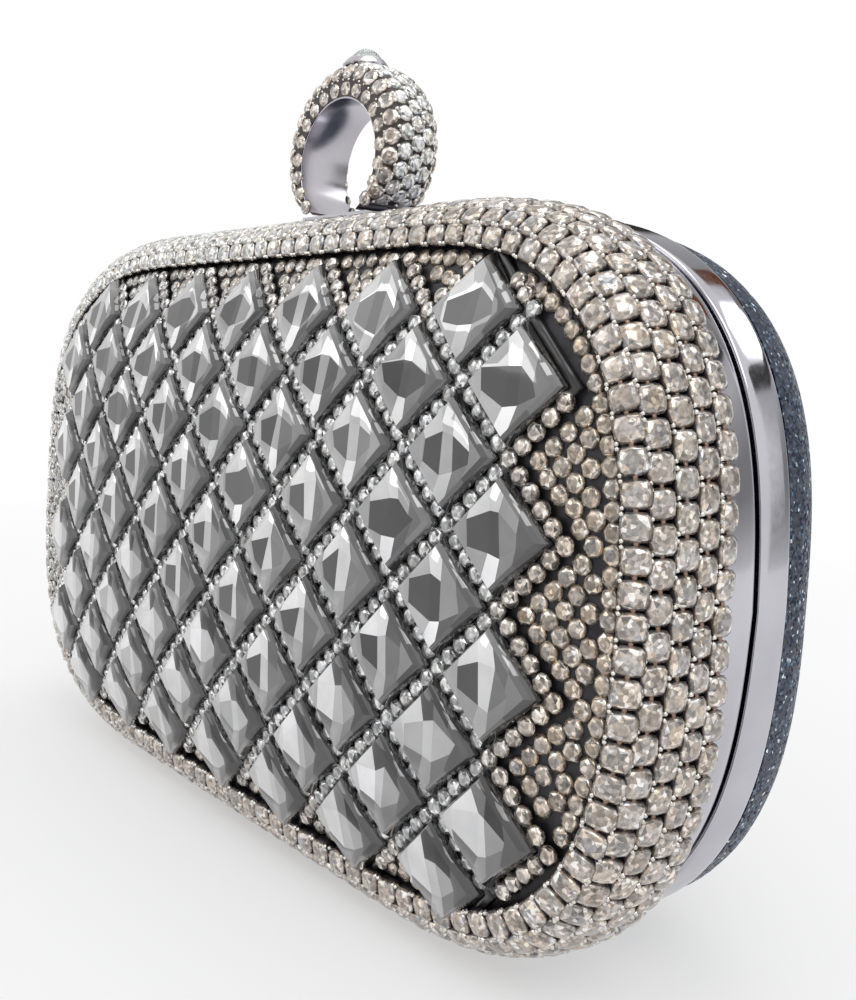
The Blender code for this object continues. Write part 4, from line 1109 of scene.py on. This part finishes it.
# One value for what the camera, mirrors and glass see, and another for the rest.
def rayColour(tree, seen, other):
    path = addNode(tree, "LightPath").outputs
    either = addMath(tree, "MAXIMUM", path["Is Camera Ray"], path["Is Glossy Ray"])
    return addRange(tree, addMath(tree, "MAXIMUM", either, path["Is Transmission Ray"]), other, seen)


# Axes of a lamp or card: sideways, up and back from what it faces.
def facingAxes(place, aim):
    back = unit(np.array(place) - np.array(aim))
    side = unit(np.cross([0.0, 0.0, 1.0], back))
    return side, np.cross(back, side), back


def turnedObject(name, data, axes, place):
    made = addObject(name, data)
    made.matrix_world = Matrix([*np.column_stack([*axes, place]).tolist(), [0.0, 0.0, 0.0, 1.0]])
    return made


def mixShaders(tree, share, first, second):
    return addNode(tree, "MixShader", {0: share, 1: first, 2: second}).outputs["Shader"]


# A card that only mirrors see; its tone changes along one axis.
def makeCard(name, place, aim, width, height, axis, tones):
    side, rise, _ = facingAxes(place, aim)
    corners = np.array(place) + squareTurn[:, :1] * side * width / 2 + squareTurn[:, 1:] * rise * height / 2
    paint, tree, shader = newMaterial(name)
    tree.nodes.remove(shader)
    apart = addNode(tree, "SeparateXYZ", {"Vector": objectCoords(tree)}).outputs[axis]
    share = addRange(tree, apart, 0.0, 1.0, corners[:, axis].min(), corners[:, axis].max())
    glow = addNode(tree, "Emission", {"Color": addRamp(tree, share, tones), "Strength": 1.0})
    feed(tree.nodes["Material Output"], {"Surface": glow.outputs["Emission"]})
    card = makePiece(name, corners, np.arange(4), np.array([4]), paint)
    card.visible_camera = card.visible_diffuse = card.visible_shadow = card.visible_transmission = False


def makeFloor():
    paint, tree, shader = newMaterial("paleFloor", Roughness=0.9)
    feed(shader, {"Base Color": addDrift(tree, *studio["floorDrift"])})
    # further out the floor gives way to the plain white of the surroundings
    away = vectorMath(tree, "LENGTH", {0: objectCoords(tree)}, "Value")
    away = addRange(tree, away, 0.0, 1.0, *studio["clear"])
    clear = addMath(tree, "MULTIPLY", away, rayColour(tree, 1.0, 0.0))
    white = addNode(tree, "Emission", {"Color": (1.0, 1.0, 1.0, 1.0), "Strength": 1.0})
    ground = mixShaders(tree, clear, shader.outputs["BSDF"], white.outputs["Emission"])
    # where the opened front half reaches below the floor, the floor gives way to it
    under = addNode(tree, "AmbientOcclusion", {"Distance": studio["giveWayReach"]}, inside=True, samples=3)
    solid = addRange(tree, under.outputs["AO"], 0.0, 1.0, *studio["giveWay"])
    nothing = addNode(tree, "BsdfTransparent").outputs["BSDF"]
    feed(tree.nodes["Material Output"], {"Surface": mixShaders(tree, solid, nothing, ground)})
    x, y = studio["floorSize"] * squareTurn.T
    floor = makePiece("floor", stack(x, y, -studio["floorDrop"]), np.arange(4), np.array([4]), paint)
    floor.visible_shadow = False


def makeStudio():
    world = bpy.data.worlds.new("studio")
    world.use_nodes = True
    bpy.context.scene.world = world
    tree = world.node_tree
    sky = rayColour(tree, 1.0, studio["skyDiffuse"])
    feed(tree.nodes["Background"], {"Color": (1.0, 1.0, 1.0, 1.0), "Strength": sky})
    makeFloor()
    for card in studio["cards"]:
        makeCard(*card)
    for place, aim, width, height, watts in studio["lamps"]:
        lamp = bpy.data.lights.new("softbox", "AREA")
        lamp.shape = "RECTANGLE"
        lamp.size, lamp.size_y, lamp.energy = width, height, watts
        turnedObject("softbox", lamp, facingAxes(place, aim), place)


# The photograph's camera: place in mm, direction as azimuth, elevation and roll, lens and shift.
cameraLook = {"place": (150.68, -113.45, 73.79), "azimuth": 50.36, "elevation": 2.93, "roll": 3.53,
              "lens": 39.66, "sensor": 36.0, "shiftX": 0.0276, "shiftY": -0.0621, "nearest": 0.005}


def makeCamera():
    turn, dip, roll = (math.radians(cameraLook[key]) for key in ("azimuth", "elevation", "roll"))
    towards = np.array([math.sin(turn) * math.cos(dip), -math.cos(turn) * math.cos(dip), math.sin(dip)])
    level, upright, back = facingAxes(towards, np.zeros(3))
    right = level * math.cos(roll) + upright * math.sin(roll)
    data = bpy.data.cameras.new("camera")
    data.lens, data.sensor_width = cameraLook["lens"], cameraLook["sensor"]
    data.shift_x, data.shift_y = cameraLook["shiftX"], cameraLook["shiftY"]
    data.clip_start = cameraLook["nearest"]
    place = np.array(cameraLook["place"]) * mm
    bpy.context.scene.camera = turnedObject("camera", data, (right, np.cross(back, right), back), place)


makeStudio()
makeCamera()
bpy.context.scene.view_settings.view_transform = "Standard"
